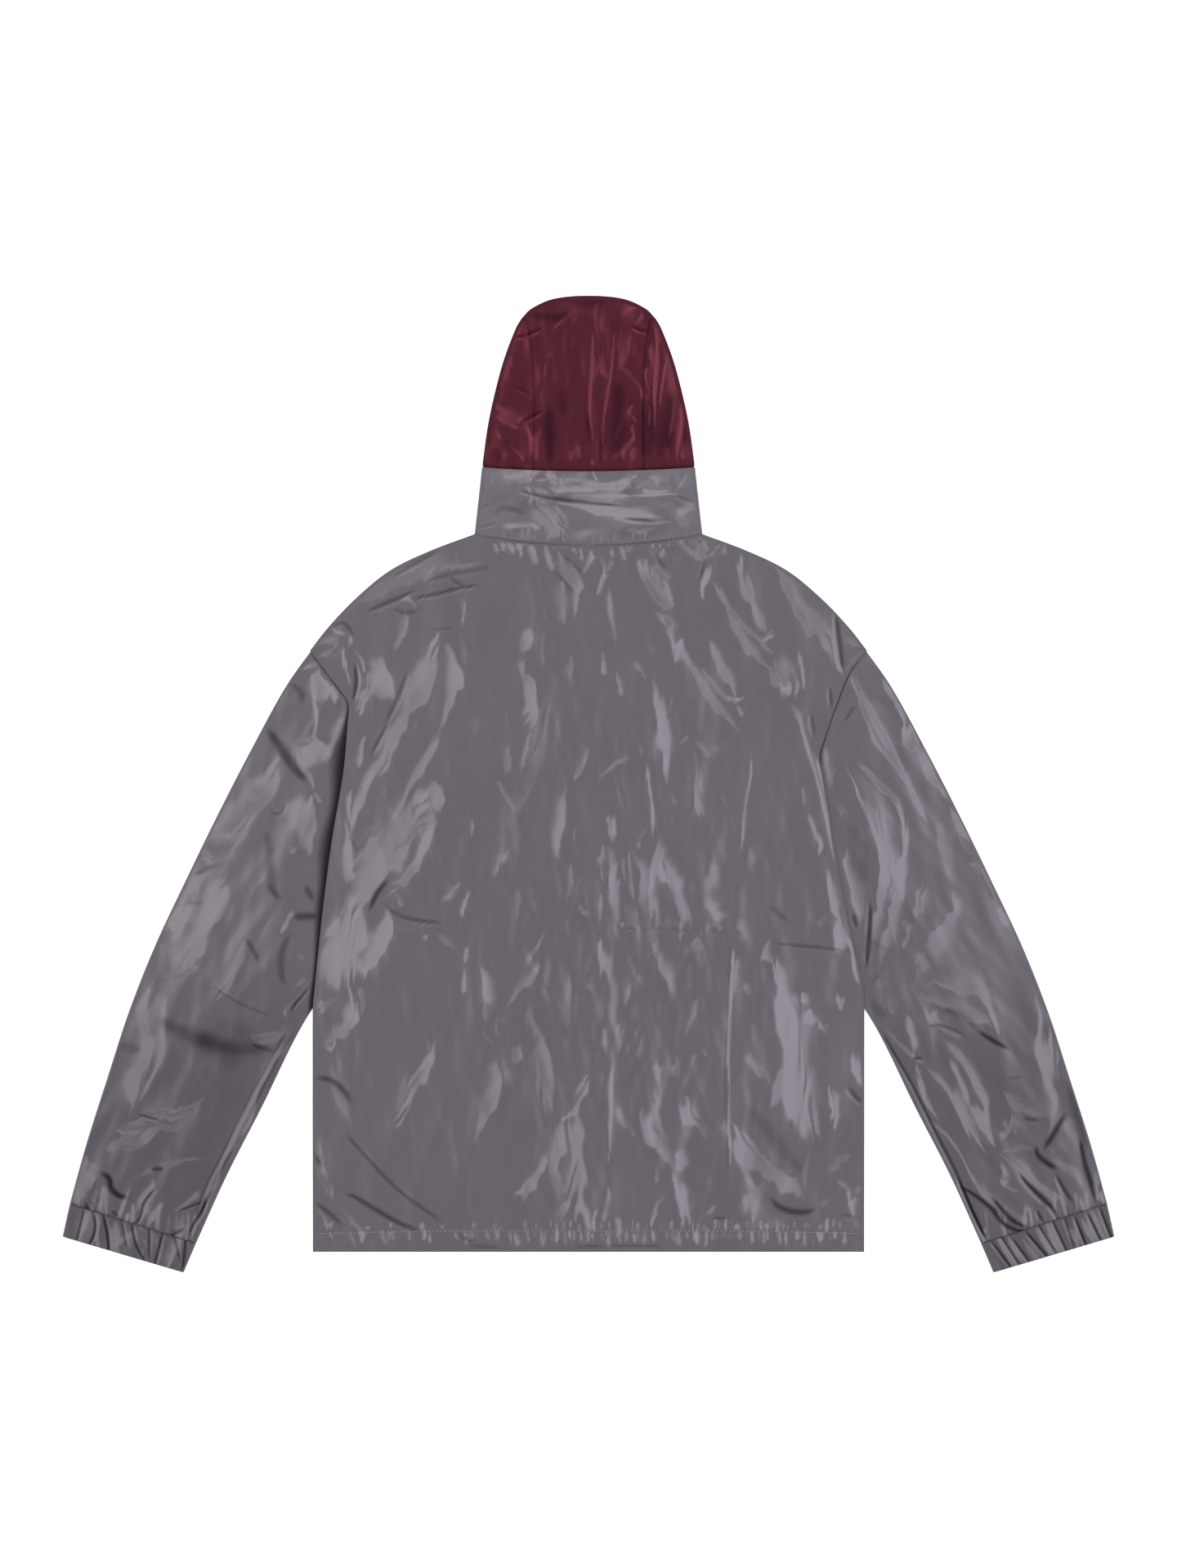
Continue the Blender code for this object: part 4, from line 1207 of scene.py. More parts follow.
@dataclass
class Back(Cloth):
    """Back panel: low at its sides, raised where it lies over the sleeves, with a stitched hem.

    Heights are in millimetres: rim at the very edge, least the lowest that creases may press it to,
    edge beside the edge, plateau inside, and over what is added where it lies over a sleeve.
    """

    columns: int = 340
    rows: int = 288
    rim: float = 1.5
    least: float = 2.1
    edge: float = 2.6
    plateau: float = 5.8
    over: float = 2.3
    neck: float = 3.2
    neck_rise: float = 2.8
    edge_rise: float = 55.0
    roll: float = 6.0
    hem_roll: float = 4.0
    fold_ridge: float = 3.0
    seam_dip: float = 0.3
    shoulder_share: float = 9 / 26
    near_edge: tuple[float, ...] = (0, 0.5, 1.1, 1.9, 3.0, 4.4, 6.0)

    def creases(self) -> list[Any]:
        """Every crease of the panel."""
        made = every([
            Puckers(-112, 252, 48, 244, 24, (5, 12), 0.3, 2.6, 0.24, 11, 4.0),
            Puckers(48, 245, 112, 253, 10, (5, 12), 0.3, 2.6, 0.24, 12),
            Puckers(-275, -452, -60, -452, 12, (-9, -4), 0.1, 2.8, 0.24, 13),
            Puckers(-60, -452, 275, -452, 44, (-13, -4), 0.1, 2.8, 0.28, 14),
            Puckers(28, -147, 165, -150, 16, (-8, 8), 0.3, 3.0, 0.22, 15),
            Puckers(-276, -455, -70, -455, 22, (8, 19), 0.4, 3.2, 0.27, 16),
            Puckers(-70, -455, 276, -455, 58, (9, 19), 0.2, 2.8, 0.30, 17),
            Crumple((-265, -440), (265, 210), 36, 0, 21, (60, 180), (0.05, 0.10), (1.5, 4.5)),
            Crumple((-250, -430), (250, 120), 30, 0, 22, (70, 220), (0.04, 0.08), (8, 24)),
            Crumple((-30, -360), (110, -30), 40, 0, 23, (25, 110), (0.06, 0.13), (2.5, 7)),
        ])
        return BACK_CREASES + BACK_GROOVES + made

    def north(self, u: Array) -> Array:
        """Upper edge: a shoulder, the neck and the other shoulder."""
        share = self.shoulder_share
        end = np.minimum(u, 1 - u)
        shoulder = SHOULDER.at(np.clip(1 - end / share, 0, 1))
        shoulder[..., 0] *= np.where(u < 0.5, -1, 1)
        middle = np.clip((u - 0.5) / (0.5 - share), -1, 1)
        rise = NECK_BACK_Y + (NECK_CORNER_Y - NECK_BACK_Y) * middle**2
        neck = np.stack([middle * NECK_OUT, rise], axis=-1)
        return np.where((end < share)[..., None], shoulder, neck)

    def plan(self, u: Array, v: Array) -> Array:
        """Places of the grid on the floor."""
        south = np.stack([(2 * u - 1) * HALF_HEM, np.full_like(u, HEM_Y)], axis=-1)
        west = BACK_SIDE[Side.LEFT].at(v) * (-1, 1)
        east = BACK_SIDE[Side.RIGHT].at(v)
        return patch(u, v, south, self.north(u), west, east)

    def shape(self, plan: Array, u: Array, v: Array) -> Surface:
        """The panel over its plan: its level, its rolled edges, its seams and its creases.

        Args:
            plan: places on the floor.
            u, v: their shares across and along.

        Returns:
            The surface.
        """
        x, y = plan[..., 0], plan[..., 1]
        side = np.minimum(u, 1 - u) * 2 * HALF_HEM
        low = v * (NECK_CORNER_Y - HEM_Y)
        high = (1 - v) * (NECK_CORNER_Y - HEM_Y)
        out = np.abs(x)
        over_sleeve = smooth(-290, -240, y) * smooth(190, 215, out)
        lift = self.over * over_sleeve
        neck = self.neck + self.neck_rise * (1 - smooth(0, NECK_OUT, out))
        at_neck = (1 - smooth(90, 150, out)) * (1 - smooth(0, 60, high))
        edge = lerp(self.edge + lift, neck, at_neck)
        inside = smooth(0, self.edge_rise, side) * smooth(0, self.edge_rise, low) * smooth(0, 50, high)
        z = lerp(edge, np.maximum(self.plateau, edge), inside)
        ridge = self.fold_ridge * over_sleeve * smooth(60, 20, y)
        z += ridge * (1 - smooth(8, 75, side)) * smooth(0, 20, high)
        free = smooth(0, 6, side) * smooth(0, 6, high) * (0.4 + 0.6 * smooth(0, 6, low))
        handled = np.exp(-(((x - 60) / 150) ** 2) - (((y + 210) / 240) ** 2))
        folds = Relief.of(self.creases(), x, y, 0.03 + 0.05 * handled).held(free)
        neck_seam = (1 - smooth(112, 118, out)) * np.exp(-((high / 1.6) ** 2))
        hem_seam = np.exp(-(((low - HEM_DEPTH) / 1.8) ** 2))
        creased = z + folds.height - self.seam_dip * neck_seam - self.seam_dip * hem_seam
        body = np.maximum(creased, self.least + lift)
        turned = self.quarter(side, self.roll) * self.quarter(low, self.hem_roll)
        turned = turned * lerp(1.0, self.quarter(high, self.roll), smooth(112, 122, out))
        z = lerp(self.rim + lift, body, turned)
        shade = folds.shade + 0.05 * neck_seam
        return Surface(np.dstack([plan, z]), np.dstack([plan, 0 * z]), shade, folds.tilt)

    @staticmethod
    def quarter(distance: Array, radius: float) -> Array:
        """Quarter circle from 0 at an edge to 1 at a radius from it."""
        return np.sqrt(np.clip(1 - (1 - np.clip(distance / radius, 0, 1)) ** 2, 0, 1))

    def stations(self, length: float, count: int) -> Array:
        """Shares of a length, closer together beside its ends."""
        ends = np.array(self.near_edge) / length
        inner = np.linspace(ends[-1], 1 - ends[-1], count - 2 * ends.size + 2)[1:-1]
        return np.concatenate([ends, inner, 1 - ends[::-1]])

    def surface(self) -> Surface:
        """Grid of the panel, with closer stations beside its edges."""
        u = self.stations(2 * HALF_HEM, self.columns)
        v = self.stations(NECK_CORNER_Y - HEM_Y, self.rows)
        u, v = np.broadcast_arrays(u[None, :], v[:, None])
        return self.shape(self.plan(u, v), u, v)

    @staticmethod
    def hem_line(grid: Surface) -> Array:
        """The grid's row along the hem's seam, short of both sides."""
        points = grid.points
        middle = points[:, points.shape[1] // 2, 1]
        row = int(np.argmin(np.abs(middle - (HEM_Y + HEM_DEPTH))))
        return points[row, 4:-4]


# Fronts, as the back, for the right one
FRONT_CREASES = creases("""
E 12 .24 40 150 62 90 70 20 66 -50
W 9 .22 150 160 128 100 112 30
E 16 .24 190 60 205 -20 214 -110 220 -190
W 7 .24 96 -90 88 -160 92 -240
N 6 .22 110 176 150 182 190 166
E 10 .22 40 -200 58 -280 52 -370
W 12 .24 180 -230 160 -310 132 -400
E 6 .24 236 -290 244 -350 238 -420
""") + grooves("""
3 2 120 185 150 172 185 170
2.4 1.8 30 -390 60 -420
3 2 200 -150 230 -170 262 -176
""")


@dataclass
class Front(Cloth):
    """Front: flat on the floor under the back, with its zip edge beside the centre line.

    clear is its distance to the sleeve, level its height, pressed how far creases may move that,
    and shift moves its creases along it, the other way on each side.
    """

    side: Side = Side.LEFT
    columns: int = 110
    rows: int = 250
    clear: float = 0.6
    shift: float = 24.0
    level: float = 0.5
    pressed: tuple[float, float] = (-0.33, 0.5)
    neck_share: float = 0.45

    def creases(self) -> list[Any]:
        """Every crease of the front."""
        seed = 31 + self.side.value
        handled = Crumple((5, -470), (280, 240), 40, 0, seed, (40, 150), (0.10, 0.22), (3, 12))
        return FRONT_CREASES + handled.creases()

    def outer(self, v: Array) -> Array:
        """Side edge: up the side seam and along the sleeve, a little clear of it."""
        inner = SLEEVE_INNER.at(np.linspace(0, 1, 101))
        crotch = np.max(np.nonzero(inner[:, 0] < HALF_HEM))
        beside = np.concatenate([inner[crotch::-4], SLEEVE_CAP.at(np.linspace(0, 1, 24))[1:]])
        way = np.gradient(beside, axis=0)
        way /= np.linalg.norm(way, axis=1, keepdims=True)
        beside = beside + self.clear * np.stack([-way[:, 1], way[:, 0]], axis=-1)
        return Path([(HALF_HEM, HEM_Y), *beside]).straight(v)

    def plan(self, u: Array, v: Array) -> Array:
        """Places on the floor between the hem, the zip edge, the neck with the shoulder, and the side."""
        share = self.neck_share
        shoulder = Path([FRONT_NECK[-1], *SHOULDER.rows[1:-1], tuple(self.outer(np.array(1.0)))])
        shoulder = shoulder.at(np.clip((u - share) / (1 - share), 0, 1))
        neck = Path(FRONT_NECK).straight(np.clip(u / share, 0, 1))
        north = np.where((u < share)[..., None], neck, shoulder)
        south = np.stack([lerp(ZIP_GAP, HALF_HEM, u), np.full_like(u, HEM_Y)], axis=-1)
        west = np.stack([np.full_like(v, ZIP_GAP), lerp(HEM_Y, FRONT_NECK[0][1], v)], axis=-1)
        return patch(u, v, south, north, west, self.outer(v))

    def surface(self) -> Surface:
        """Grid of the front, with its right side to the floor."""
        u, v = np.linspace(0, 1, self.columns)[None], np.linspace(0, 1, self.rows)[:, None]
        u, v = np.broadcast_arrays(u, v)
        plan = self.plan(u, v)
        x, y = plan[..., 0], plan[..., 1] - self.shift * self.side.value
        free = smooth(0, 0.06, np.minimum(u, 1 - u)) * smooth(0, 0.03, np.minimum(v, 1 - v))
        folds = Relief.of(self.creases(), x, y, 0.04)
        z = self.level + np.clip(0.5 * folds.height * free, *self.pressed)
        mirror = np.array([self.side.value, 1])
        points, base = (np.dstack([plan * mirror, height]) for height in (z, 0 * z))
        return Surface(points, base, folds.shade, folds.tilt * mirror, down=True)


@dataclass(frozen=True)
class Ring:
    """Stations round a flattened tube: how many above, round each fold and below."""

    top: int
    arc: int
    bottom: int

    def grid(self, rows: int) -> tuple[Array, Array]:
        """Stations of a tube, the same in every row.

        Args:
            rows: how many rows.

        Returns:
            Shares across from the first fold, and angles in radians: upwards above, downwards below.
        """
        over = np.linspace(0, 1, self.top, endpoint=False)
        turn = np.linspace(0, 180, self.arc, endpoint=False)
        under = np.linspace(1, 0, self.bottom, endpoint=False)
        across = np.concatenate([over, np.ones(self.arc), under, np.zeros(self.arc)])
        above, below = np.full(self.top, 90.0), np.full(self.bottom, -90.0)
        angle = np.radians(np.concatenate([above, 90 - turn, below, -90 - turn]))
        shape = (rows, across.size)
        return np.broadcast_to(across, shape), np.broadcast_to(angle, shape)


def on_top(angle: Array) -> Array:
    """Which stations lie in the upper layer."""
    return np.sin(angle) > 0.99


def raised(angle: Array) -> Array:
    """Share of the height round a half-round fold: 1 above, 0 below."""
    return (1 + np.sin(angle)) / 2


def rolled(angle: Array) -> Array:
    """Share of the height for the base form: level on top, rolling over close to the floor."""
    return smooth(-1.0, 0.15, np.sin(angle))


def tube_reach(span: Array, across: Array, angle: Array, first: Array, last: Array) -> Array:
    """Share of a flattened tube's width at each station, for half-round folds of two heights.

    Args:
        span: width of the tube.
        across, angle: the stations.
        first, last: heights of the two folds.

    Returns:
        Shares of the width, where each fold's own outline is 0 or 1.
    """
    radius = lerp(first, last, across) / 2
    return (first / 2 + (span - first / 2 - last / 2) * across + radius * np.cos(angle)) / span


# Sleeves, as facing, width, lean, then the line's points; and half width, depth, then the points
SLEEVE_CREASES = {
    Side.LEFT: (
        # upper arm
        creases("""
N 4 .26 -293 114 -280 121 -266 129
W 4 .28 -288 122 -282 108 -280 94 -278 77 -277 58 -281 42
W 12 .27 -276 118 -272 98 -265 80
W 8 .25 -262 102 -257 82
W 7 .25 -247 76 -255 56 -263 34 -269 12
N 5 .27 -300 38 -290 45 -276 47
W 20 .27 -277 56 -282 36 -277 10
W 3 .28 -297 36 -290 18 -281 0 -279 -12
N 3 .27 -281 -8 -270 -20
W 18 .27 -289 -4 -290 -25 -286 -48 -287 -78
W 5 .20 -303 -72 -295 -63
W 20 .28 -317 22 -328 -3 -342 -17 -356 -31 -370 -45 -382 -58
W 13 .26 -346 -36 -358 -52 -370 -64 -396 -74
N 11 .26 -398 -78 -378 -64 -356 -52
W 32 .14 -366 -80 -384 -103 -388 -132 -405 -166
W 10 .18 -407 -118 -414 -136 -426 -158
W 20 .17 -514 -372 -516 -398 -510 -424
W 6 .26 -299 -126 -304 -138 -312 -152
W 4 .22 -296 -170 -290 -184
""")
        # forearm
        + creases("""
W 26 .13 -392 -146 -408 -170 -420 -192
N 13 .26 -432 -198 -412 -193 -393 -184
W 6 .28 -436 -194 -448 -215 -454 -231 -452 -245 -448 -260 -451 -277 -460 -294 -463 -312 -460 -334
W 10 .24 -456 -284 -463 -306 -460 -326
W 3 .28 -433 -198 -432 -218 -433 -236 -433 -255 -434 -274 -440 -291 -449 -309 -460 -331
N 12 .23 -348 -257 -322 -256 -300 -247
W 3 .28 -278 -196 -293 -215 -309 -231 -306 -240 -296 -245
W 3 .26 -284 -196 -301 -210
N 16 .26 -468 -339 -442 -335 -416 -331 -392 -321
N 13 .26 -480 -348 -462 -348 -448 -352
N 4 .26 -452 -353 -480 -365 -495 -377
N 8 .22 -400 -336 -416 -344 -438 -351 -456 -365 -484 -371
N 4 .27 -469 -405 -448 -394 -435 -389 -416 -383 -396 -381 -382 -390
W 5 .27 -442 -397 -445 -412 -453 -422 -455 -434 -463 -442 -476 -447
W 4 .26 -431 -424 -442 -438 -449 -453
W 6 .27 -509 -418 -500 -431 -491 -443
N 4 .25 -391 -411 -406 -425 -421 -435
W 8 .22 -418 -438 -409 -452
W 3 .22 -470 -430 -480 -440
W 8 .25 -301 -250 -322 -284 -341 -322 -366 -372 -385 -408 -398 -442
""")
        # troughs
        + grooves("""
8 2.8 -328 59 -316 42 -305 25 -294 11 -283 0
5 1.6 -304 103 -293 94 -290 82
4 1.8 -402 -93 -389 -87 -376 -80
4 .9 -414 -122 -387 -120
1.8 1.6 -323 -24 -319 -30 -312 -29 -308 -18
8 1.4 -328 -44 -324 -66 -322 -96 -315 -122
5 1.2 -328 -100 -312 -119
6 2.6 -302 -135 -274 -134
5 2.2 -288 -102 -279 -120
4 1.8 -350 -153 -338 -173 -334 -184
6 1.7 -301 -148 -311 -172 -311 -196 -304 -208
2.4 2.6 -283 -206 -297 -222 -304 -234
1.6 1.2 -384 -204 -370 -213 -351 -224 -320 -237
13 1.5 -440 -237 -405 -255 -378 -264 -355 -268 -324 -272
20 .9 -402 -252 -376 -268 -350 -288
15 .8 -382 -250 -354 -250 -334 -268
4 1.6 -345 -263 -317 -272
8 1 -478 -266 -452 -270
2.4 2 -461 -335 -447 -338 -433 -342
5 3 -499 -392 -487 -400 -484 -411 -476 -418 -463 -420
4 2.4 -445 -391 -430 -391
2.4 2.6 -436 -406 -451 -425 -456 -441 -464 -451
2.4 2.4 -512 -424 -504 -438
2.2 2.2 -485 -433 -476 -440
2.6 2.6 -386 -416 -393 -434 -401 -447 -407 -462
2 2 -391 -424 -418 -434
3 2.2 -427 -460 -409 -451
2 1.3 -303 -246 -327 -287 -347 -325 -372 -376 -389 -410 -400 -440
2 1.1 -296 -248 -317 -283 -336 -320 -361 -370 -380 -406 -395 -440
""")
    ),
    Side.RIGHT: (
        # upper arm
        creases("""
E 11 .27 265 118 273 95 282 74 292 54 301 36 314 17
E 3 .30 269 114 280 92 291 70 306 40 325 3
E 4.5 .29 298 42 312 22 325 0 335 -20 344 -42
E 5 .27 296 114 305 94 315 77 324 54
E 10 .27 321 60 326 47 337 34
E 5 .27 330 43 341 28 349 8 357 -3 366 -20
E 5 .26 365 -22 376 -38 387 -58
E 8 .21 241 46 244 24 246 -6
E 12 .17 250 -20 260 -28 256 -44
E 7 .28 257 31 264 15 271 -3 273 -13 284 -31 291 -46 295 -60 298 -78 297 -104 293 -132 289 -166
E 6 .28 259 28 275 20 287 8 301 -6 312 -17 318 -31 321 -48 321 -70 318 -92 314 -115 308 -136 302 -166
E 16 .14 298 -10 306 -50 308 -90 302 -140
E 7 .20 299 -60 298 -100 293 -140 287 -190
E 9 .20 319 -66 316 -106 307 -150 291 -200
E 12 .15 346 -96 338 -122 326 -146 320 -168
E 14 .19 372 -104 374 -126 362 -150 344 -176 328 -203
N 3 .24 386 -81 401 -85
E 5 .25 417 -123 428 -146
E 8 .22 260 -50 266 -70 266 -84 272 -104 278 -132 275 -152
""")
        # forearm
        + creases("""
E 4 .27 282 -210 293 -189 299 -169 303 -146
E 10 .21 294 -202 306 -220 313 -238
N 14 .26 333 -206 360 -201 386 -202 400 -212 410 -228
E 5 .28 394 -208 406 -226 412 -240 418 -258
N 8 .24 333 -208 352 -219 378 -228 398 -240 411 -257
N 8 .22 345 -222 349 -237 361 -247 382 -258
E 6 .26 321 -232 328 -250 332 -264 327 -278
E 5 .27 291 -238 309 -257 329 -276 342 -283
E 7 .27 336 -281 354 -295 364 -308 374 -325 387 -350 402 -376
E 6 .27 346 -256 361 -262 374 -273 387 -289 396 -305 403 -321 404 -341 412 -366
E 5 .25 363 -274 374 -295 387 -325
E 5 .31 385 -322 396 -335 403 -350 413 -371
E 5 .20 331 -278 338 -305 342 -320
N 4 .27 412 -374 422 -370 438 -370 453 -374
E 5 .31 414 -376 422 -395 421 -405 427 -410 440 -414
N 6 .26 417 -374 435 -383 451 -402 471 -418 489 -430
E 6 .22 384 -386 400 -412 416 -428 432 -438 463 -448
E 3.5 .28 447 -198 456 -221 459 -237 457 -253 456 -270 461 -286 467 -305 474 -321 474 -334 467 -357 460 -375
E 12 .21 462 -248 466 -275 470 -308
E 12 .23 489 -338 484 -356 470 -371
N 8 .23 417 -316 435 -325 451 -331 468 -339
E 14 .16 430 -338 426 -360
N 3.5 .27 462 -375 487 -389 497 -396 504 -411
E 3 .24 512 -406 521 -427
E 3 .25 327 -286 345 -325 359 -347
E 3 .26 347 -342 367 -360 387 -396 395 -412
""")
        # troughs
        + grooves("""
2.2 1.2 275 84 290 53 305 26
1.8 1.8 258 62 272 80
12 .7 267 -36 275 -68 283 -104
3.4 3.2 286 -116 286 -143 282 -190
3 2.4 268 -130 273 -148
8 1 284 -219 304 -239
4 3.2 392 -248 408 -259 430 -271
6 1.2 350 -225 376 -234 398 -252
2.4 1.8 339 -247 357 -245 377 -253 385 -259
2.4 2 327 -279 340 -278
5 2.8 486 -331 477 -347 467 -363 460 -375
4.5 3 454 -364 456 -376 467 -386 479 -392
3 1.8 440 -339 459 -342
2.4 1 424 -299 442 -297
4 3 375 -407 393 -418 409 -431 422 -447 441 -455 457 -458
4 3 407 -416 419 -431 432 -444 450 -453
3.6 3 434 -391 445 -405 458 -418 471 -431 478 -446
3 2.4 473 -394 487 -418 495 -427
2.6 2.4 455 -432 462 -446
5 3.4 498 -356 504 -385 510 -405 516 -430
7 1.2 486 -302 497 -340 506 -372
2.4 2.4 297 -250 312 -276 329 -306 345 -338 361 -370 374 -396 390 -434 404 -464
3 2.4 374 -398 390 -434 408 -470
""")
    ),
}


# Strip of a sleeve with a painted shadow beside the back's fold: its width high up and low down,
# and its lowest and highest Y
SLEEVE_GAP = {Side.LEFT: (1.6, 13.0, -232, 140), Side.RIGHT: (1.6, 1.6, 26, 140)}
# painted shade that darkens each forearm towards the cuff
FOREARM_SHADE = {Side.LEFT: 0.24, Side.RIGHT: 0.17}


@dataclass
class Sleeve(Cloth):
    """Sleeve: a flattened tube that runs out from under the back and is gathered into its cuff.

    Heights are in millimetres: pressed under the back, edge at the free folds, crown what is added
    between them, and least the lowest that creases may press it to.
    """

    side: Side = Side.LEFT
    rows: int = 400
    ring: Ring = Ring(160, 6, 40)
    pressed: float = 3.1
    edge: float = 5.2
    crown: float = 1.4
    least: float = 1.0
    lean: float = 0.03
    nap: float = 0.04
    length: float = 640.0

    def handled(self, count: int, seed: int, *sizes: tuple[float, float]) -> list[Crease]:
        """Seeded creases along the sleeve: how many, their seed, lengths, leans and widths."""
        sign = self.side.value
        ends = sorted([240 * sign, 520 * sign])
        low, high = (ends[0], -460), (ends[1], 130)
        return Crumple(low, high, count, SLEEVE_TURN * sign, seed + sign, *sizes).creases()

    def creases(self) -> list[Any]:
        """Every crease of the sleeve's upper side."""
        sign = self.side.value
        (x0, y0), (x1, y1) = SLEEVE_INNER.at(1.0), SLEEVE_OUTER.at(1.0)
        gathers = Puckers(x0 * sign, y0, x1 * sign, y1, 20, (-34, -9), -0.35 * sign, 2.4, 0.27, 41 + sign)
        crumple = self.handled(20, 51, (35, 140), (0.05, 0.10), (2, 7))
        bands = self.handled(16, 53, (70, 200), (0.04, 0.08), (8, 24))
        return SLEEVE_CREASES[self.side] + gathers.creases() + crumple + bands

    def plan(self, u: Array, v: Array) -> Array:
        """Places on the floor, for shares across and along."""
        inner, outer = SLEEVE_INNER.at(v), SLEEVE_OUTER.at(v)
        end = lerp(SLEEVE_INNER.at(1.0), SLEEVE_OUTER.at(1.0), u[..., None])
        cap = SLEEVE_CAP.at(u)
        first, last = SLEEVE_CAP.at(0.0), SLEEVE_CAP.at(1.0)
        u, v = u[..., None], v[..., None]
        corners = (1 - v) * lerp(first, last, u) + v * end
        return (1 - v) * cap + v * end + (1 - u) * inner + u * outer - corners

    def level(self, out: Array, y: Array, across: Array) -> tuple[Array, Array]:
        """Height without creases, and how free of the back each place is, from 0 to 1."""
        free = smooth(3, 42, out - back_edge(self.side, y))
        crown = self.crown * np.sin(np.pi * across)
        return self.pressed + free * (self.edge - self.pressed + crown), free

    def painted_gap_shadow(self, out: Array, y: Array) -> Array:
        """Painted shadow where the back's fold shuts the light off: a strip beside it, uneven in width."""
        beyond = out - back_edge(self.side, y)
        high, low, lowest, highest = SLEEVE_GAP[self.side]
        wide = lerp(high, low, smooth(88, 30, y)) * (1 + 0.18 * np.sin(y / 13) + 0.12 * np.sin(y / 29))
        wide = wide * lerp(1.0, 0.42, smooth(-70, -160, y))
        strip = (1 - smooth(0.1 * wide, 1.15 * wide, beyond)) ** 0.8
        return strip * smooth(lowest - 12, lowest, y) * (1 - smooth(highest - 12, highest, y))

    def surface(self) -> Surface:
        """Grid round the tube, from the armhole to the cuff."""
        sign = self.side.value
        across, angle = self.ring.grid(self.rows)
        v = np.linspace(0, 1, self.rows)[:, None]
        inner, outer = SLEEVE_INNER.at(v), SLEEVE_OUTER.at(v)
        span = np.linalg.norm(outer - inner, axis=-1)
        first, _ = self.level(inner[..., 0], inner[..., 1], np.zeros_like(v))
        last, _ = self.level(outer[..., 0], outer[..., 1], np.ones_like(v))
        v = np.broadcast_to(v, across.shape)
        plan = self.plan(tube_reach(span, across, angle, first, last), v)
        out, y = plan[..., 0], plan[..., 1]
        x = out * sign
        level, free = self.level(out, y, across)
        shape = bulge(across, 0.4)
        seam = np.exp(-(((1 - v) * self.length) / 2.0) ** 2) * uneven(out, 0.9, 0.37, 1, 0.45)
        clear = smooth(0, 8, out - back_edge(self.side, y))
        folds = Relief.of(self.creases(), x, y, self.nap, SLEEVE_TURN * sign)
        top = np.maximum(level + (folds.height * shape - 1.6 * seam) * free, self.least)
        above, below = on_top(angle), np.sin(angle) < -0.99
        marks = self.handled(46, 57, (50, 180), (0.10, 0.26), (4, 14))
        hidden = Relief.of(marks, x, y, self.nap).held(shape * below)
        z = top * raised(angle) + FLOOR_GAP + np.clip(0.6 * hidden.height, 0, 1)
        forearm = smooth(-150, -300, y)
        # painted shade of grooves, a painted shadow beside the back's fold, the dark cuff seam, and painted
        # shade that darkens the forearm
        shade = folds.shade + self.painted_gap_shadow(out, y) + 0.48 * seam + FOREARM_SHADE[self.side] * forearm
        tilt = folds.tilt * clear[..., None]
        tilt[..., 0] += sign * self.lean * (1 - forearm) * clear
        tilt = np.where(above[..., None], tilt, hidden.tilt)
        points, base = np.dstack([x, y, z]), np.dstack([x, y, level * rolled(angle)])
        return Surface(points, base, np.clip(shade, 0, 1) * above, tilt, True)


# Cuffs, as the sleeves
CUFF_CREASES = {
    Side.LEFT: creases("""
W 3 .22 -506 -432 -519 -465
W 4 .22 -498 -433 -497 -474
W 7 .15 -484 -437 -479 -485
N 4 .20 -486 -473 -458 -450
E 3 .235 -462 -447 -449 -466 -454 -488
W 4 .215 -444 -448 -433 -483
W 5 .19 -417 -457 -429 -495
E 5 .155 -402 -460 -410 -500
""") + grooves("""
2 2.2 -511 -427 -521 -470
2.2 2.6 -504 -428 -501 -453 -514 -481
2.4 3 -494 -431 -488 -460 -487 -491
2.2 2.6 -465 -440 -459 -468 -447 -490
2 2 -446 -444 -446 -486
2.2 2.6 -431 -451 -442 -494
2.2 2.6 -408 -454 -413 -504
1.8 1.8 -475 -440 -468 -474
1.8 2 -422 -452 -414 -486
"""),
    Side.RIGHT: creases("""
E 4 .155 413 -458 437 -497
E 4 .155 423 -455 447 -494
E 5 .155 436 -455 462 -490
E 5 .155 451 -449 475 -484
E 5 .155 464 -443 483 -480
E 6 .155 486 -439 501 -480
E 5 .155 499 -434 518 -476
E 4 .155 511 -430 530 -471
""") + grooves("""
2.2 2.6 406 -460 436 -500
2 2.4 415 -453 442 -495
2.2 2.6 427 -457 455 -495
2.2 2.8 440 -450 473 -488
2 2.4 454 -443 477 -480
2.2 2.6 469 -439 489 -482
1.8 1.8 482 -436 494 -474
2.2 2.8 492 -435 510 -481
2.2 2.6 504 -430 526 -476
2.2 2.6 517 -425 535 -471
"""),
}


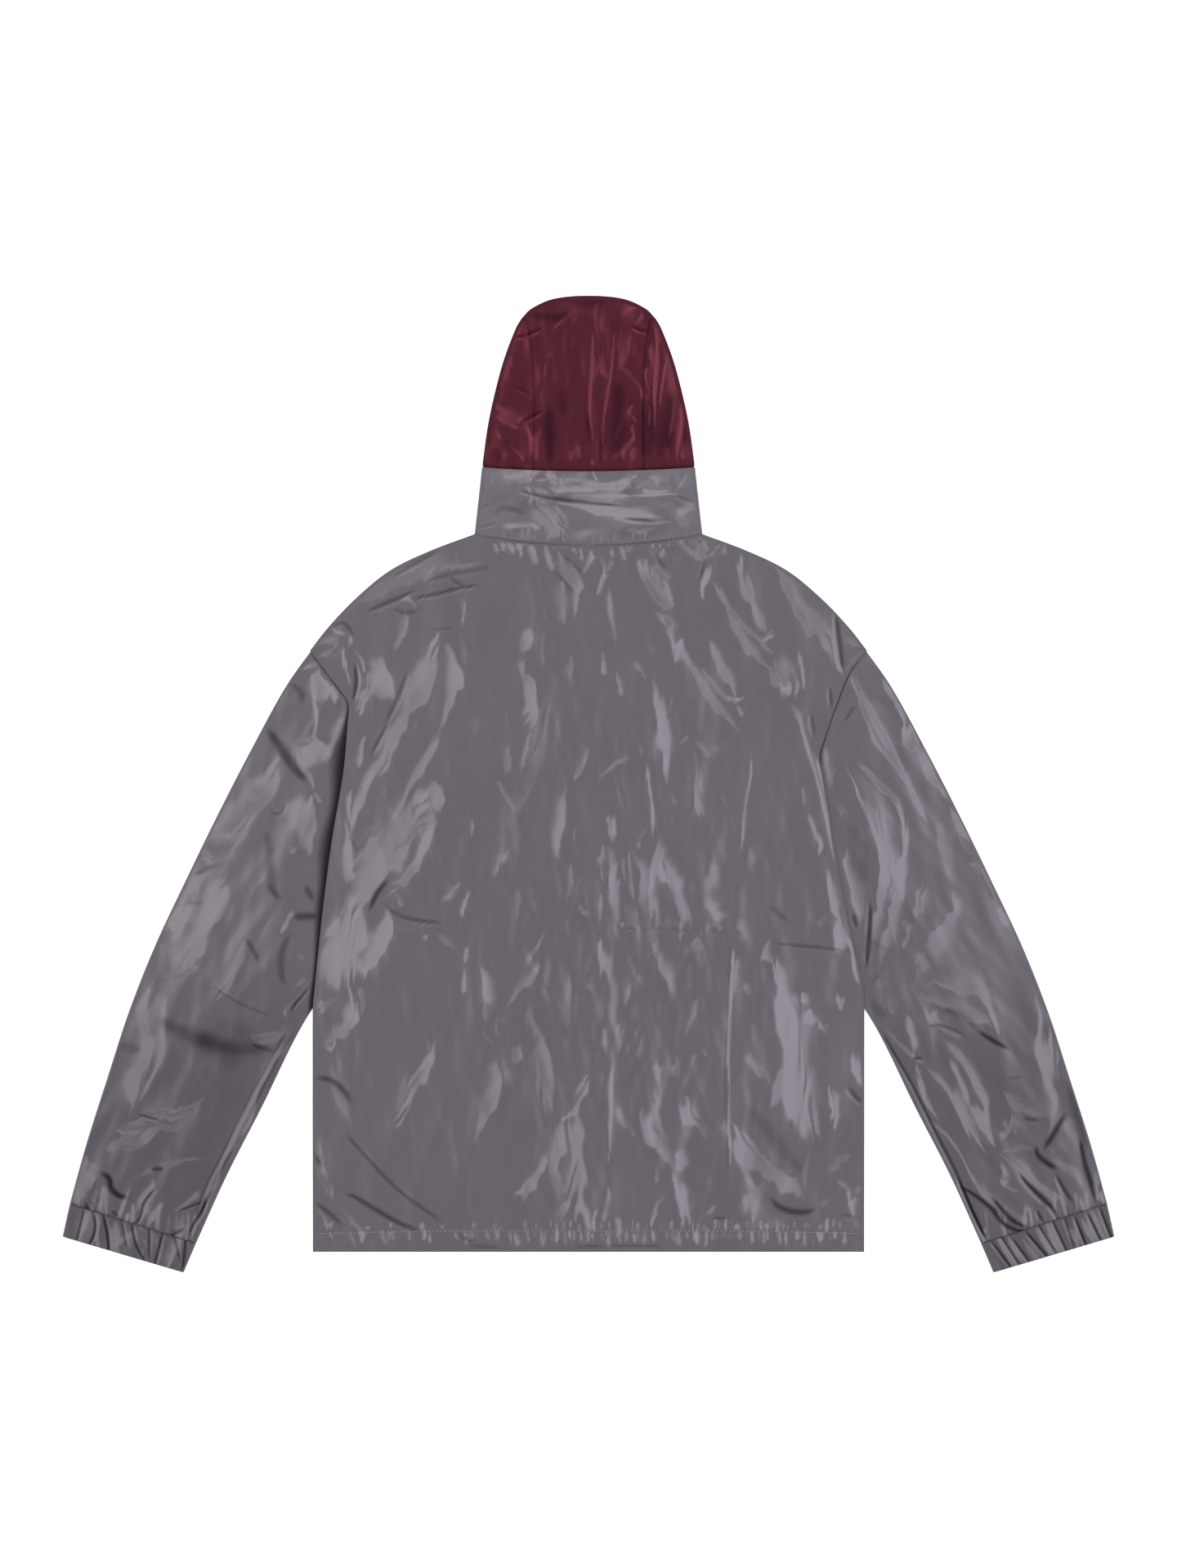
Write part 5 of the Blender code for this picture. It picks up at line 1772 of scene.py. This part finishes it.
@dataclass
class Cuff(Cloth):
    """Cuff: an elastic band gathered by the sleeve's seam, flat below. dim is painted shade over it all."""

    side: Side = Side.LEFT
    rows: int = 40
    ring: Ring = Ring(220, 6, 12)
    edge: float = 5.0
    least: float = 1.2
    dim: float = 0.24
    nap: float = 0.05

    def surface(self) -> Surface:
        """Grid round the band, from the sleeve's seam to the free edge."""
        across, angle = self.ring.grid(self.rows)
        along = np.broadcast_to(np.linspace(0.01, 1, self.rows)[:, None], across.shape)
        inner = lerp(SLEEVE_INNER.at(1.0), np.array(CUFF_END[0]), along[..., None])
        outer = lerp(SLEEVE_OUTER.at(1.0), np.array(CUFF_END[1]), along[..., None])
        span = np.linalg.norm(outer - inner, axis=-1)
        edge = np.full_like(span, self.edge)
        plan = lerp(inner, outer, tube_reach(span, across, angle, edge, edge)[..., None])
        shape = bulge(across, 0.4)
        x, y = plan[..., 0] * self.side.value, plan[..., 1]
        folds = Relief.of(CUFF_CREASES[self.side], x, y, self.nap, SLEEVE_TURN * self.side.value)
        seam = np.exp(-((along / 0.04) ** 2)) * uneven(x, 0.8, 0.33, 2, 0.45)
        level = self.edge + (1.0 + 1.2 * np.sin(np.pi * along) - 1.2 * seam) * shape
        turned = 1 - 0.25 * smooth(0.93, 1.0, along)
        above = on_top(angle)
        z = np.maximum(level + folds.height * shape, self.least) * (raised(angle) * turned) + FLOOR_GAP
        points, base = np.dstack([x, y, z]), np.dstack([x, y, self.edge * rolled(angle)])
        # painted shade of grooves and of dim over the whole band, with the dark seam
        shade = np.clip(folds.shade + 0.45 * seam + self.dim, 0, 1) * above
        return Surface(points, base, shade, folds.tilt * above[..., None], True)


COLLAR_CREASES = creases("""
W 28 .27 -68 298 -52 278 -38 260 -22 240
N 4 .27 -46 289 -30 276 -18 260
N 6 .23 -30 286 -3 280 18 276 58 273 88 271
N 2 .24 -20 293 27 292 70 293 92 293 110 287
W 4 .28 103 320 94 308 84 294
N 7 .26 86 273 106 283 114 275
E 8 .22 86 284 98 268 106 258
N 7 .25 -92 262 -70 264 -48 262
N 10 .22 -74 304 -60 314 -44 318
W 9 .22 -40 318 -34 302
N 10 .15 -20 308 10 304 40 308
E 6 .24 50 310 40 296
E 9 .22 62 318 76 302
W 8 .18 -100 312 -92 296
""") + grooves("""
3.2 2.6 -74 299 -49 292 -24 288 3 285 36 282
3 2.4 30 270 58 268 88 269
3 2.6 86 294 98 290 112 285
2.2 1.8 100 318 84 295
2.2 1.4 50 306 34 293
4 2 -99 269 -88 280 -60 273
3 2.4 -113 279 -101 284
2 2 -115 259 -92 266
2.4 1.6 -96 318 -78 322
""")


@dataclass
class Collar(Cloth):
    """Stand collar: a band folded flat at both sides, open at the front where the zip closes it.

    Heights are in millimetres, at the folds (edge) and in the middle, by the neck and at the top.
    lean is how its back slopes up to the hood.
    """

    rows: int = 84
    front: int = 26
    upper: int = 230
    arc: int = 6
    front_out: float = 108.0
    neck_edge: float = 3.2
    top_edge: float = 9.2
    neck_middle: float = 6.0
    top_middle: float = 10.6
    least: float = 1.2
    lean: float = 0.09
    nap: float = 0.05
    heading: float = 80
    turned_in: tuple[float, float] = (0.006, 0.016)

    def creases(self) -> list[Any]:
        """Every crease on the back of the collar."""
        return COLLAR_CREASES + every([
            Puckers(-104, 322, 104, 322, 22, (10, 30), 0.35, 4.0, 0.25, 71, 3.0),
            Puckers(-100, 250, 60, 243, 24, (-18, -6), 0.35, 1.8, 0.22, 72, 3.0),
            Puckers(60, 245, 112, 252, 10, (-14, -5), 0.3, 1.8, 0.20, 73),
            Crumple((-105, 250), (105, 316), 24, self.heading, 74, (20, 70), (0.08, 0.16), (3, 9)),
        ])

    def stations(self) -> tuple[Array, Array, Array]:
        """Stations from one front edge over the back of the neck to the other.

        Returns:
            Angles in radians, shares across the back, and x on the two flat fronts, nan elsewhere.
        """
        front = np.linspace(ZIP_GAP, self.front_out, self.front)
        below = np.full(self.front, -90.0)
        turn = np.linspace(0, 180, self.arc, endpoint=False)
        above = np.full(self.upper, 90.0)
        over = np.linspace(0, 1, self.upper, endpoint=False)
        angle = np.concatenate([below, -90 - turn, above, 90 - turn, [-90.0], below])
        across = np.concatenate([np.zeros(self.front + self.arc), over, np.ones(self.arc + 1 + self.front)])
        folded = np.full(2 * self.arc + self.upper + 1, np.nan)
        return np.radians(angle), across, np.concatenate([-front, folded, front[::-1]])

    def surface(self) -> Surface:
        """Grid from one front edge over the back of the neck to the other, its top edge turned in."""
        v = np.concatenate([np.linspace(0, 1, self.rows), 1 - np.array(self.turned_in)])[:, None]
        under = np.concatenate([np.zeros(self.rows), [0.5, 1.0]])[:, None]
        angle, across, flat = (np.broadcast_to(a, (v.size, a.size)) for a in self.stations())
        half = lerp(NECK_OUT, COLLAR_TOP_OUT, v)
        edge = lerp(self.neck_edge, self.top_edge, v**0.7)
        middle = lerp(self.neck_middle, self.top_middle, v**0.5)
        x = tube_reach(2 * half, across, angle, edge, edge) * 2 * half - half
        x = np.where(np.isnan(flat), x, flat * half / NECK_OUT)
        inwards = 1 - (x / half) ** 2
        above = raised(angle)
        back = above > 0.99
        back_seam = NECK_CORNER_Y + (NECK_BACK_Y - NECK_CORNER_Y) * inwards + 0.05
        neck = np.array(FRONT_NECK)
        front_seam = np.interp(np.abs(x), neck[:, 0], neck[:, 1]) + 0.3
        seam = lerp(front_seam, back_seam, above)
        y = lerp(seam, COLLAR_TOP_Y - COLLAR_TOP_DIP * inwards, v)
        level = lerp(edge, middle, smooth(0, 1, inwards))
        free = bulge(across, 0.5) * smooth(0, 0.06, v) * (1 - 0.4 * smooth(0.93, 1.0, v))
        folds = Relief.of(self.creases(), x, y, self.nap, self.heading).held(free * back)
        top = np.maximum(level + folds.height - 0.3 * (1 - smooth(0, 0.03, v)), self.least)
        z = np.where(above > 0, top * above, zip_lift(x, y)) + FLOOR_GAP
        z = z - 0.9 * under * np.where(above > 0.5, 1.0, -0.4)
        base = np.where(above > 0, self.top_edge * rolled(angle), 0 * level)
        thread = (1 - smooth(0.004, 0.016, v)) * uneven(x, 1.1, 0.43, 0, 0.4)
        tilt = folds.tilt + np.stack([0 * x, self.lean * back], axis=-1)
        points, base = np.dstack([x, y, z]), np.dstack([x, y, base])
        return Surface(points, base, folds.shade + 0.5 * thread * back, tilt)


HOOD_CREASES = creases("""
E 20 .14 14 488 14 455 12 414
W 1.8 .27 4 492 4 449 2 412 1 379 4 353 10 328
W 2.6 .28 24 488 25 454 24 432 22 412 19 393 16 373 15 353 12 326
E 10 .20 4 412 13 424 20 408
E 14 .17 38 468 37 442 34 418
N 4 .25 33 477 42 486 54 482
E 3 .25 51 487 54 474 44 466
E 2.4 .28 33 426 45 412 52 402 54 389
E 2.6 .28 54 390 45 384 42 376 51 366
E 4 .29 52 371 45 362 46 353 42 345 34 337 17 322
W 2.4 .27 -8 493 -17 465
N 2 .24 -13 482 -37 461
N 8 .27 -98 393 -81 376 -66 365
N 3 .23 -99 380 -78 364 -66 360
W 2.6 .28 -95 370 -90 353 -78 342 -61 321
W 3.5 .23 -66 366 -59 348 -60 332
W 5 .21 -45 368 -54 344 -52 324
E 3 .31 60 487 67 463 69 432 67 398 67 373 69 346
E 8 .17 62 450 66 425 62 396
E 2 .28 83 442 78 426 76 412 73 393 73 374
E 2 .29 94 401 95 379 94 359 90 337 91 320
E 2.2 .25 88 402 86 372 80 343
E 2.2 .26 60 428 58 412 62 394
E 2.2 .25 60 392 62 372 59 356
E 3 .24 99 354 104 338 108 328
W 18 .13 -40 440 -44 400
W 14 .14 -82 440 -88 412
""") + grooves("""
15 1.9 28 414 31 380 27 330
13 1.8 60 396 60 360 58 326
12 2 85 404 81 362 72 324
9 2.2 -40 388 -40 360 -38 322
7 2 -62 477 -31 474 -16 481
8 1.6 -24 494 0 488 24 494
9 1.6 -100 342 -88 326
2.6 2.2 43 465 62 458
2.6 2.4 -78 453 -64 456 -45 464
2.6 2.2 -71 366 -45 380
2.4 1.6 -79 405 -57 396
8 1.2 -30 404 -24 372
3.4 2 12 356 13 322
4 1.6 -2 380 2 342
8 1.8 100 372 104 336
7 1.4 74 470 88 430
""")
# Hood, right half: outline of its side and its dome, seam between its panels, and face opening
HOOD_SIDE = [
    (104.6, 309.6), (105.4, 319.6), (107.5, 322.6), (106.8, 332.0), (102.1, 365.2), (95.0, 398.4),
    (85.9, 431.6), (73.9, 463.1), (68.1, 473.1),
]
HOOD_DOME = [(68.1, 473.1), (58.1, 483.1), (35.7, 493.0), (0.0, 496.3)]
HOOD_SEAM = [(56.4, 309.6), (55.6, 365.2), (55.6, 398.4), (58.1, 439.9), (62.3, 470.6)]
FACE_SIDE = [(49.8, 309.6), (51.5, 365.2), (48.1, 406.7), (39.8, 431.6)]
HOOD_TUCK_Y = 309.6  # lower edge, tucked into the collar


@dataclass
class HoodPanel(Cloth):
    """What the hood's panels share: level, creases and the fold round its outline.

    Heights are in millimetres: tuck_top in the collar, fold at the outline, level inside, and lap
    of the underside on the front of the collar. ramp is the Y where it leaves the collar.
    """

    finish: Satin = HOOD
    tuck_top: float = 7.2
    fold: float = 5.6
    level: float = 6.4
    lap: float = 1.3
    nap: float = 0.06
    ramp: tuple[float, float] = (325.0, 348.0)
    arc: int = 6
    under: int = 12

    def creases(self) -> list[Any]:
        """Every crease of the hood."""
        return HOOD_CREASES + every([
            Puckers(-100, 330, 100, 330, 16, (-14, 8), 0.15, 4.0, 0.22, 81),
            Crumple((-95, 325), (95, 485), 26, 0, 83, (20, 80), (0.07, 0.14), (2, 7)),
        ])

    def angles(self, above: int) -> Array:
        """Angles in radians: of some stations above, round the fold, and under it."""
        turn = np.linspace(90, -90, self.arc, endpoint=False)
        return np.radians(np.concatenate([np.full(above, 90.0), turn, np.full(self.under, -90.0)]))

    def floor(self, y: Array) -> Array:
        """Underside of the turned-under edge: on the floor, or on the front of the collar."""
        return self.lap * (1 - smooth(*self.ramp, y)) + FLOOR_GAP

    def folded(self, outline: Array, under: Array) -> tuple[Array, Array, Array]:
        """The fold round the outline.

        Args:
            outline: points of the outline.
            under: points of the edge of the face opening across from them.

        Returns:
            Direction out of the fold, the fold's radius, and its middle line.
        """
        way = outline - under
        way = way / np.linalg.norm(way, axis=-1, keepdims=True)
        near = 1 - smooth(*self.ramp, outline[..., 1])
        radius = (lerp(self.fold, self.tuck_top, near) - self.floor(outline[..., 1])) / 2
        return way, radius, outline - way * radius[..., None]

    def raise_points(
        self, flat: Array, way: Array, radius: Array, angle: Array, inwards: Array, seam: Array
    ) -> Surface:
        """The hood over its plan.

        Args:
            flat: places on the fold's inner side.
            way, radius: the fold's direction and radius.
            angle: in radians, upwards above and downwards below.
            inwards: share of the way from the fold to the far edge.
            seam: distance to the panel's seam, in millimetres.

        Returns:
            The surface.
        """
        plan = flat + way * (radius * np.cos(angle))[..., None]
        x, y = plan[..., 0], plan[..., 1]
        floor, near, above = self.floor(y), 1 - smooth(*self.ramp, y), on_top(angle)
        folds = Relief.of(self.creases(), x, y, self.nap).held(smooth(0, 0.08, inwards) * above)
        sewn = np.exp(-((seam / 1.1) ** 2)) * above
        level = lerp(self.level, self.tuck_top, near)
        creased = np.maximum(level + folds.height * (1 - near) - 1.0 * sewn, floor + 1.0)
        top, flat_top = (lerp(2 * radius, a - floor, smooth(0, 0.35, inwards)) for a in (creased, level))
        points = np.dstack([x, y, floor + top * raised(angle)])
        base = np.dstack([x, y, floor + flat_top * rolled(angle)])
        rim = COLLAR_TOP_Y - COLLAR_TOP_DIP * (1 - (x / COLLAR_TOP_OUT) ** 2)
        # painted shadow on the hood where it runs under the collar's top edge
        painted_collar_shadow = (1 - smooth(0.5, 4.5, y - rim)) * above
        shade = np.clip(folds.shade + 0.65 * sewn + 0.6 * painted_collar_shadow, 0, 1)
        return Surface(points, base, shade, folds.tilt)


@dataclass
class HoodSide(HoodPanel):
    """Side of the hood: from its seam out to the fold, and under to the face opening."""

    side: Side = Side.LEFT
    rows: int = 150
    upper: int = 56
    join: float = 0.12
    seam_gap: float = 0.6

    def surface(self) -> Surface:
        """Grid from the seam to the edge of the face opening, from the collar up."""
        v = np.linspace(0, 1, self.rows)[:, None]
        shift = (self.join, -self.join)
        outline, face = (
            Path([*rows[:-1], np.add(rows[-1], shift)]).at(v) for rows in (HOOD_SIDE, FACE_SIDE)
        )
        seam = Path(np.add(HOOD_SEAM, (-self.seam_gap, 0.0))).at(v)
        over = np.linspace(0, 1, self.upper, endpoint=False)
        across = np.concatenate([over, np.ones(self.arc), np.linspace(1, 0, self.under)])
        shape = (self.rows, across.size)
        across, angle = (np.broadcast_to(a, shape) for a in (across, self.angles(self.upper)))
        way, radius, fold = (np.broadcast_to(a, (*shape, *a.shape[2:])) for a in self.folded(outline, face))
        start = np.where((np.sin(angle) < -0.999)[..., None], face, seam)
        flat = lerp(start, fold, across[..., None])
        mirror = np.array([self.side.value, 1.0])
        gap = np.linalg.norm(flat - seam, axis=-1)
        return self.raise_points(flat * mirror, way * mirror, radius, angle, 1 - across, gap)


@dataclass
class HoodCentre(HoodPanel):
    """Centre of the hood: from the collar up to the dome, and under to the forehead's edge.

    The grid's rows bend down by brow in the middle below the dome, and creases fade over fade to it.
    """

    under: int = 14
    columns: int = 130
    upper: int = 160
    dome: int = 5
    forehead_y: float = 444.1
    brow: float = 8.0
    fade: float = 60.0
    width: float = 112.0

    def surface(self) -> Surface:
        """Grid from the collar over the dome's fold to the edge of the face opening."""
        u = np.linspace(0, 1, self.columns)
        lean = 2 * u - 1
        dome = Path([*[(-x, y) for x, y in HOOD_DOME], *HOOD_DOME[-2::-1]]).at(u)
        corner = FACE_SIDE[-1]
        rise = self.forehead_y + (corner[1] - self.forehead_y) * lean**2
        forehead = np.stack([lean * corner[0], rise], axis=-1)
        way, radius, fold = self.folded(dome, forehead)
        v = np.linspace(0, 1, self.upper)[:, None]
        seam = Path(HOOD_SEAM).at(v)
        brow_x = fold[:, 0] * HOOD_SEAM[-1][0] / fold[-1, 0]
        brow = np.stack([brow_x, fold[:, 1] - self.brow * (1 - lean**2)], axis=-1)
        tuck = np.stack([lean * HOOD_SEAM[0][0], np.full_like(u, HOOD_TUCK_Y)], axis=-1)
        upper = patch(u[None, :], v, tuck[None], brow[None], seam * (-1, 1), seam)
        above = lerp(brow[None], fold[None], np.linspace(0, 1, self.dome + 2)[1:-1, None, None])
        arc = np.broadcast_to(fold, (self.arc, *fold.shape))
        under = lerp(fold[None], forehead[None], np.linspace(0, 1, self.under)[:, None, None])
        flat = np.concatenate([upper, above, arc, under])
        shape = flat.shape[:2]
        angle = np.broadcast_to(self.angles(self.upper + self.dome)[:, None], shape)
        inwards = np.clip(np.linalg.norm(flat - fold[None], axis=-1) / self.fade, 0, 1) * on_top(angle)
        gap = np.broadcast_to(np.minimum(u, 1 - u) * self.width, shape)
        way, radius = (np.broadcast_to(a, (*shape, *a.shape[1:])) for a in (way, radius))
        return self.raise_points(flat, way, radius, angle, inwards, gap)


@dataclass
class ZipTape(Cloth):
    """Zip tape: a woven strip inside the front, which rises with the collar at the slider."""

    side: Side = Side.LEFT
    finish: Weave = TAPE
    rows: int = 260
    columns: int = 8
    inner: float = 1.6
    outer: float = 14.0
    low_y: float = -446.0
    high_y: float = 313.0
    level: float = 1.8

    def surface(self) -> Surface:
        """Grid along the zip."""
        y = np.linspace(self.low_y, self.high_y, self.rows)[:, None]
        x = np.linspace(self.inner, self.outer, self.columns)[None, :]
        x, y = np.broadcast_arrays(x, y)
        z = self.level + zip_lift(np.full_like(x, self.inner), y)
        points = np.stack([x * self.side.value, y, z], axis=-1)
        return Surface(points, points, 0 * z, 0 * points[..., :2], down=True)


@dataclass
class Studs:
    """Many small rounded bars in one mesh, such as stitches or zip teeth.

    size is each bar's length, width and height in millimetres. rings are its three rings of
    corners, each a share of its plan and of its height.
    """

    name: str
    size: tuple[float, float, float]
    finish: Any
    slot: str
    sides: ClassVar[int] = 8
    rings: ClassVar[tuple[tuple[float, float], ...]] = ((1.0, -0.1), (1.0, 0.5), (0.6, 1.0))

    def faces(self) -> list[list[int]]:
        """Corner indices of one bar's faces: two rings of walls, its underside and its cap."""
        count = self.sides
        around = np.arange(count)
        after = np.roll(around, -1)
        ring = np.stack([around, after, after + count, around + count], axis=1)
        walls = np.concatenate([ring, ring + count]).tolist()
        return walls + [list(range(count - 1, -1, -1)), list(range(2 * count, 3 * count))]

    def build(self, places: Array, ways: Array) -> bpy.types.Object:
        """Makes the bars.

        Args:
            places: middles of the bars' undersides, in millimetres.
            ways: their directions, unit vectors.

        Returns:
            The object.
        """
        length, width, height = self.size
        turn = np.radians((np.arange(self.sides) + 0.5) * 360 / self.sides)
        ring = np.stack([np.cos(turn) * length / 2, np.sin(turn) * width / 2], axis=-1)
        local = np.concatenate(
            [np.column_stack([ring * plan, np.full(self.sides, up * height)]) for plan, up in self.rings]
        )
        side = np.cross((0.0, 0.0, 1.0), ways)
        side /= np.linalg.norm(side, axis=1, keepdims=True)
        axes = np.stack([ways, side, np.cross(ways, side)], axis=1)
        points = places[:, None] + np.einsum("vk,nkc->nvc", local, axes)
        bar = self.faces()
        faces = [[i + len(local) * n for i in face] for n in range(len(places)) for face in bar]
        mesh = bpy.data.meshes.new(self.name)
        mesh.from_pydata((points.reshape(-1, 3) * MM).tolist(), [], faces)
        mesh.shade_smooth()
        return add_piece(self.name, mesh, self.finish)


@dataclass
class Stitching:
    """Rows of stitches that follow the surface they are sewn into. Sizes are in millimetres."""

    pitch: float = 4.2
    stitch: tuple[float, float, float] = (2.3, 0.8, 0.4)
    lift: float = 0.15

    def along(self, name: str, line: Array) -> bpy.types.Object:
        """Stitches along a line of points.

        Args:
            name: the piece's name.
            line: points of the seam on the cloth, in millimetres.

        Returns:
            The object.
        """
        steps = np.linalg.norm(np.diff(line, axis=0), axis=1)
        reach = np.concatenate([[0.0], np.cumsum(steps)])
        at = np.arange(self.pitch / 2, reach[-1], self.pitch)
        places, ahead, behind = (
            np.stack([np.interp(at + step, reach, line[:, axis]) for axis in range(3)], axis=-1)
            for step in (0, 1, -1)
        )
        ways = ahead - behind
        ways /= np.linalg.norm(ways, axis=1, keepdims=True)
        places[:, 2] += self.lift
        return Studs(name, self.stitch, THREAD, "shell_satin").build(places, ways)


@dataclass
class Zip:
    """Front zip: teeth between the tapes, and the solid slider and pull tab in metal."""

    pitch: float = 2.0
    low_y: float = -444.0
    high_y: float = 288.0
    level: float = 1.4
    stagger: float = 0.6
    tooth: tuple[float, float, float] = (3.4, 1.4, 0.9)

    def build(self) -> None:
        """Makes the teeth and dresses the slider and its tab."""
        y = np.arange(self.low_y, self.high_y, self.pitch)
        x = np.where(np.arange(y.size) % 2 == 0, -self.stagger, self.stagger)
        z = self.level + zip_lift(np.zeros_like(y), y)
        places = np.stack([x, y, z], axis=-1)
        ways = np.tile([1.0, 0.0, 0.0], (y.size, 1))
        Studs("zip_teeth", self.tooth, METAL, "zip_metal").build(places, ways)
        for node in ("zip_slider", "zip_pull_tab"):
            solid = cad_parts[node]
            solid.data.materials.clear()
            solid.data.materials.append(Wardrobe.get(METAL))
            log.info("%s: dressed", node)


@dataclass(frozen=True)
class Softbox:
    """Large soft light, aimed at the middle of the floor."""

    name: str
    place: tuple[float, float, float]
    size: tuple[float, float]
    radiance: float
    colour: tuple[float, float, float]

    def build(self) -> None:
        """Makes the light. Its power is its radiance times pi times its area."""
        data = bpy.data.lights.new(self.name, "AREA")
        data.shape = "RECTANGLE"
        data.size, data.size_y = self.size
        data.energy = self.radiance * math.pi * self.size[0] * self.size[1]
        data.color = self.colour
        lamp = bpy.data.objects.new(self.name, data)
        lamp.location = self.place
        x, y, z = self.place
        lamp.rotation_euler = (math.atan2(math.hypot(x, y), z), 0.0, math.atan2(x, -y))
        bpy.context.scene.collection.objects.link(lamp)


@dataclass
class Studio:
    """Pale floor, soft lights and a camera straight above, as in the photograph."""

    frame_height: float = 1.5928
    lens: float = 85.0
    sensor: float = 36.0
    camera_over: float = 0.004
    floor_size: float = 9.0
    floor_z: float = -0.0002
    floor_glow: float = 0.75
    sky: tuple[float, float, float, float] = (0.96, 0.96, 1.0, 1.0)
    sky_strength: float = 0.5
    lights: tuple[Softbox, ...] = (
        Softbox("light_left", (-8.0, 0.2, 9.0), (7.4, 9.5), 3.25, (1.0, 0.955, 0.965)),
        Softbox("light_right", (8.0, 0.2, 9.0), (7.4, 9.5), 3.5, (0.95, 0.95, 1.0)),
        Softbox("light_head", (0.0, 7.4, 9.0), (8.0, 6.0), 3.5, (1.0, 0.98, 0.98)),
    )

    def floor(self) -> None:
        """Makes the floor: pale, with a faint grain, and lit from within as on a light table."""
        half = self.floor_size / 2
        mesh = bpy.data.meshes.new("floor")
        corners = [(x * half, y * half, self.floor_z) for x, y in ((-1, -1), (1, -1), (1, 1), (-1, 1))]
        mesh.from_pydata(corners, [], [[0, 1, 2, 3]])
        graph = Graph("floor")
        grain = graph.noise(graph.coordinates("Object"), (40, 40, 40), 2.0)
        graph.feed(
            graph.shader,
            {
                "Base Color": graph.mix(grain, (0.45, 0.45, 0.45), (0.48, 0.48, 0.48)),
                "Roughness": 0.9,
                "Specular IOR Level": 0.1,
                "Emission Color": (1, 1, 1, 1),
                "Emission Strength": self.floor_glow,
            },
        )
        mesh.materials.append(graph.material)
        floor = bpy.data.objects.new("floor", mesh)
        bpy.context.scene.collection.objects.link(floor)

    def build(self) -> None:
        """Makes the floor, the lights, the surroundings and the camera."""
        self.floor()
        for light in self.lights:
            light.build()
        scene = bpy.context.scene
        world = bpy.data.worlds.new("studio")
        world.use_nodes = True
        sky = world.node_tree.nodes["Background"]
        sky.inputs["Color"].default_value = self.sky
        sky.inputs["Strength"].default_value = self.sky_strength
        scene.world = world
        camera = bpy.data.cameras.new("camera")
        camera.lens, camera.sensor_width = self.lens, self.sensor
        eye = bpy.data.objects.new("camera", camera)
        eye.location = (0.0, 0.0, self.frame_height * self.lens / self.sensor + self.camera_over)
        scene.collection.objects.link(eye)
        scene.camera = eye
        scene.view_settings.view_transform = "Standard"


def main() -> None:
    """Builds the studio and every piece, in order."""
    Studio().build()
    back = Back("back_panel", (0.580, 0.770), 0.400, rests_on=("front_left", "front_right"))
    grid = back.surface()
    hem = Stitching().along("hem_stitches", back.hem_line(grid))
    back.build([hem], grid)
    Collar("collar", (0.470, 0.125), 0.046, held="folded").build()
    HoodCentre("hood_centre", (0.140, 0.260), 0.032, held="folded").build()
    for side in Side:
        word = side.word
        Front("front_" + word, (0.285, 0.740), 0.168, side=side).build()
        Sleeve("sleeve_" + word, (0.420, 0.680), 0.225, side=side).build()
        Cuff("cuff_" + word, (0.330, 0.045), 0.0125, held="gathered", side=side).build()
        HoodSide("hood_" + word, (0.090, 0.185), 0.0139, held="folded", side=side).build()
        ZipTape("zip_tape_" + word, (0.0125, 0.762), 0.0095, side=side).build()
    Zip().build()


if __name__ == "__main__":
    logging.basicConfig(level=logging.INFO, format="%(message)s")
    main()
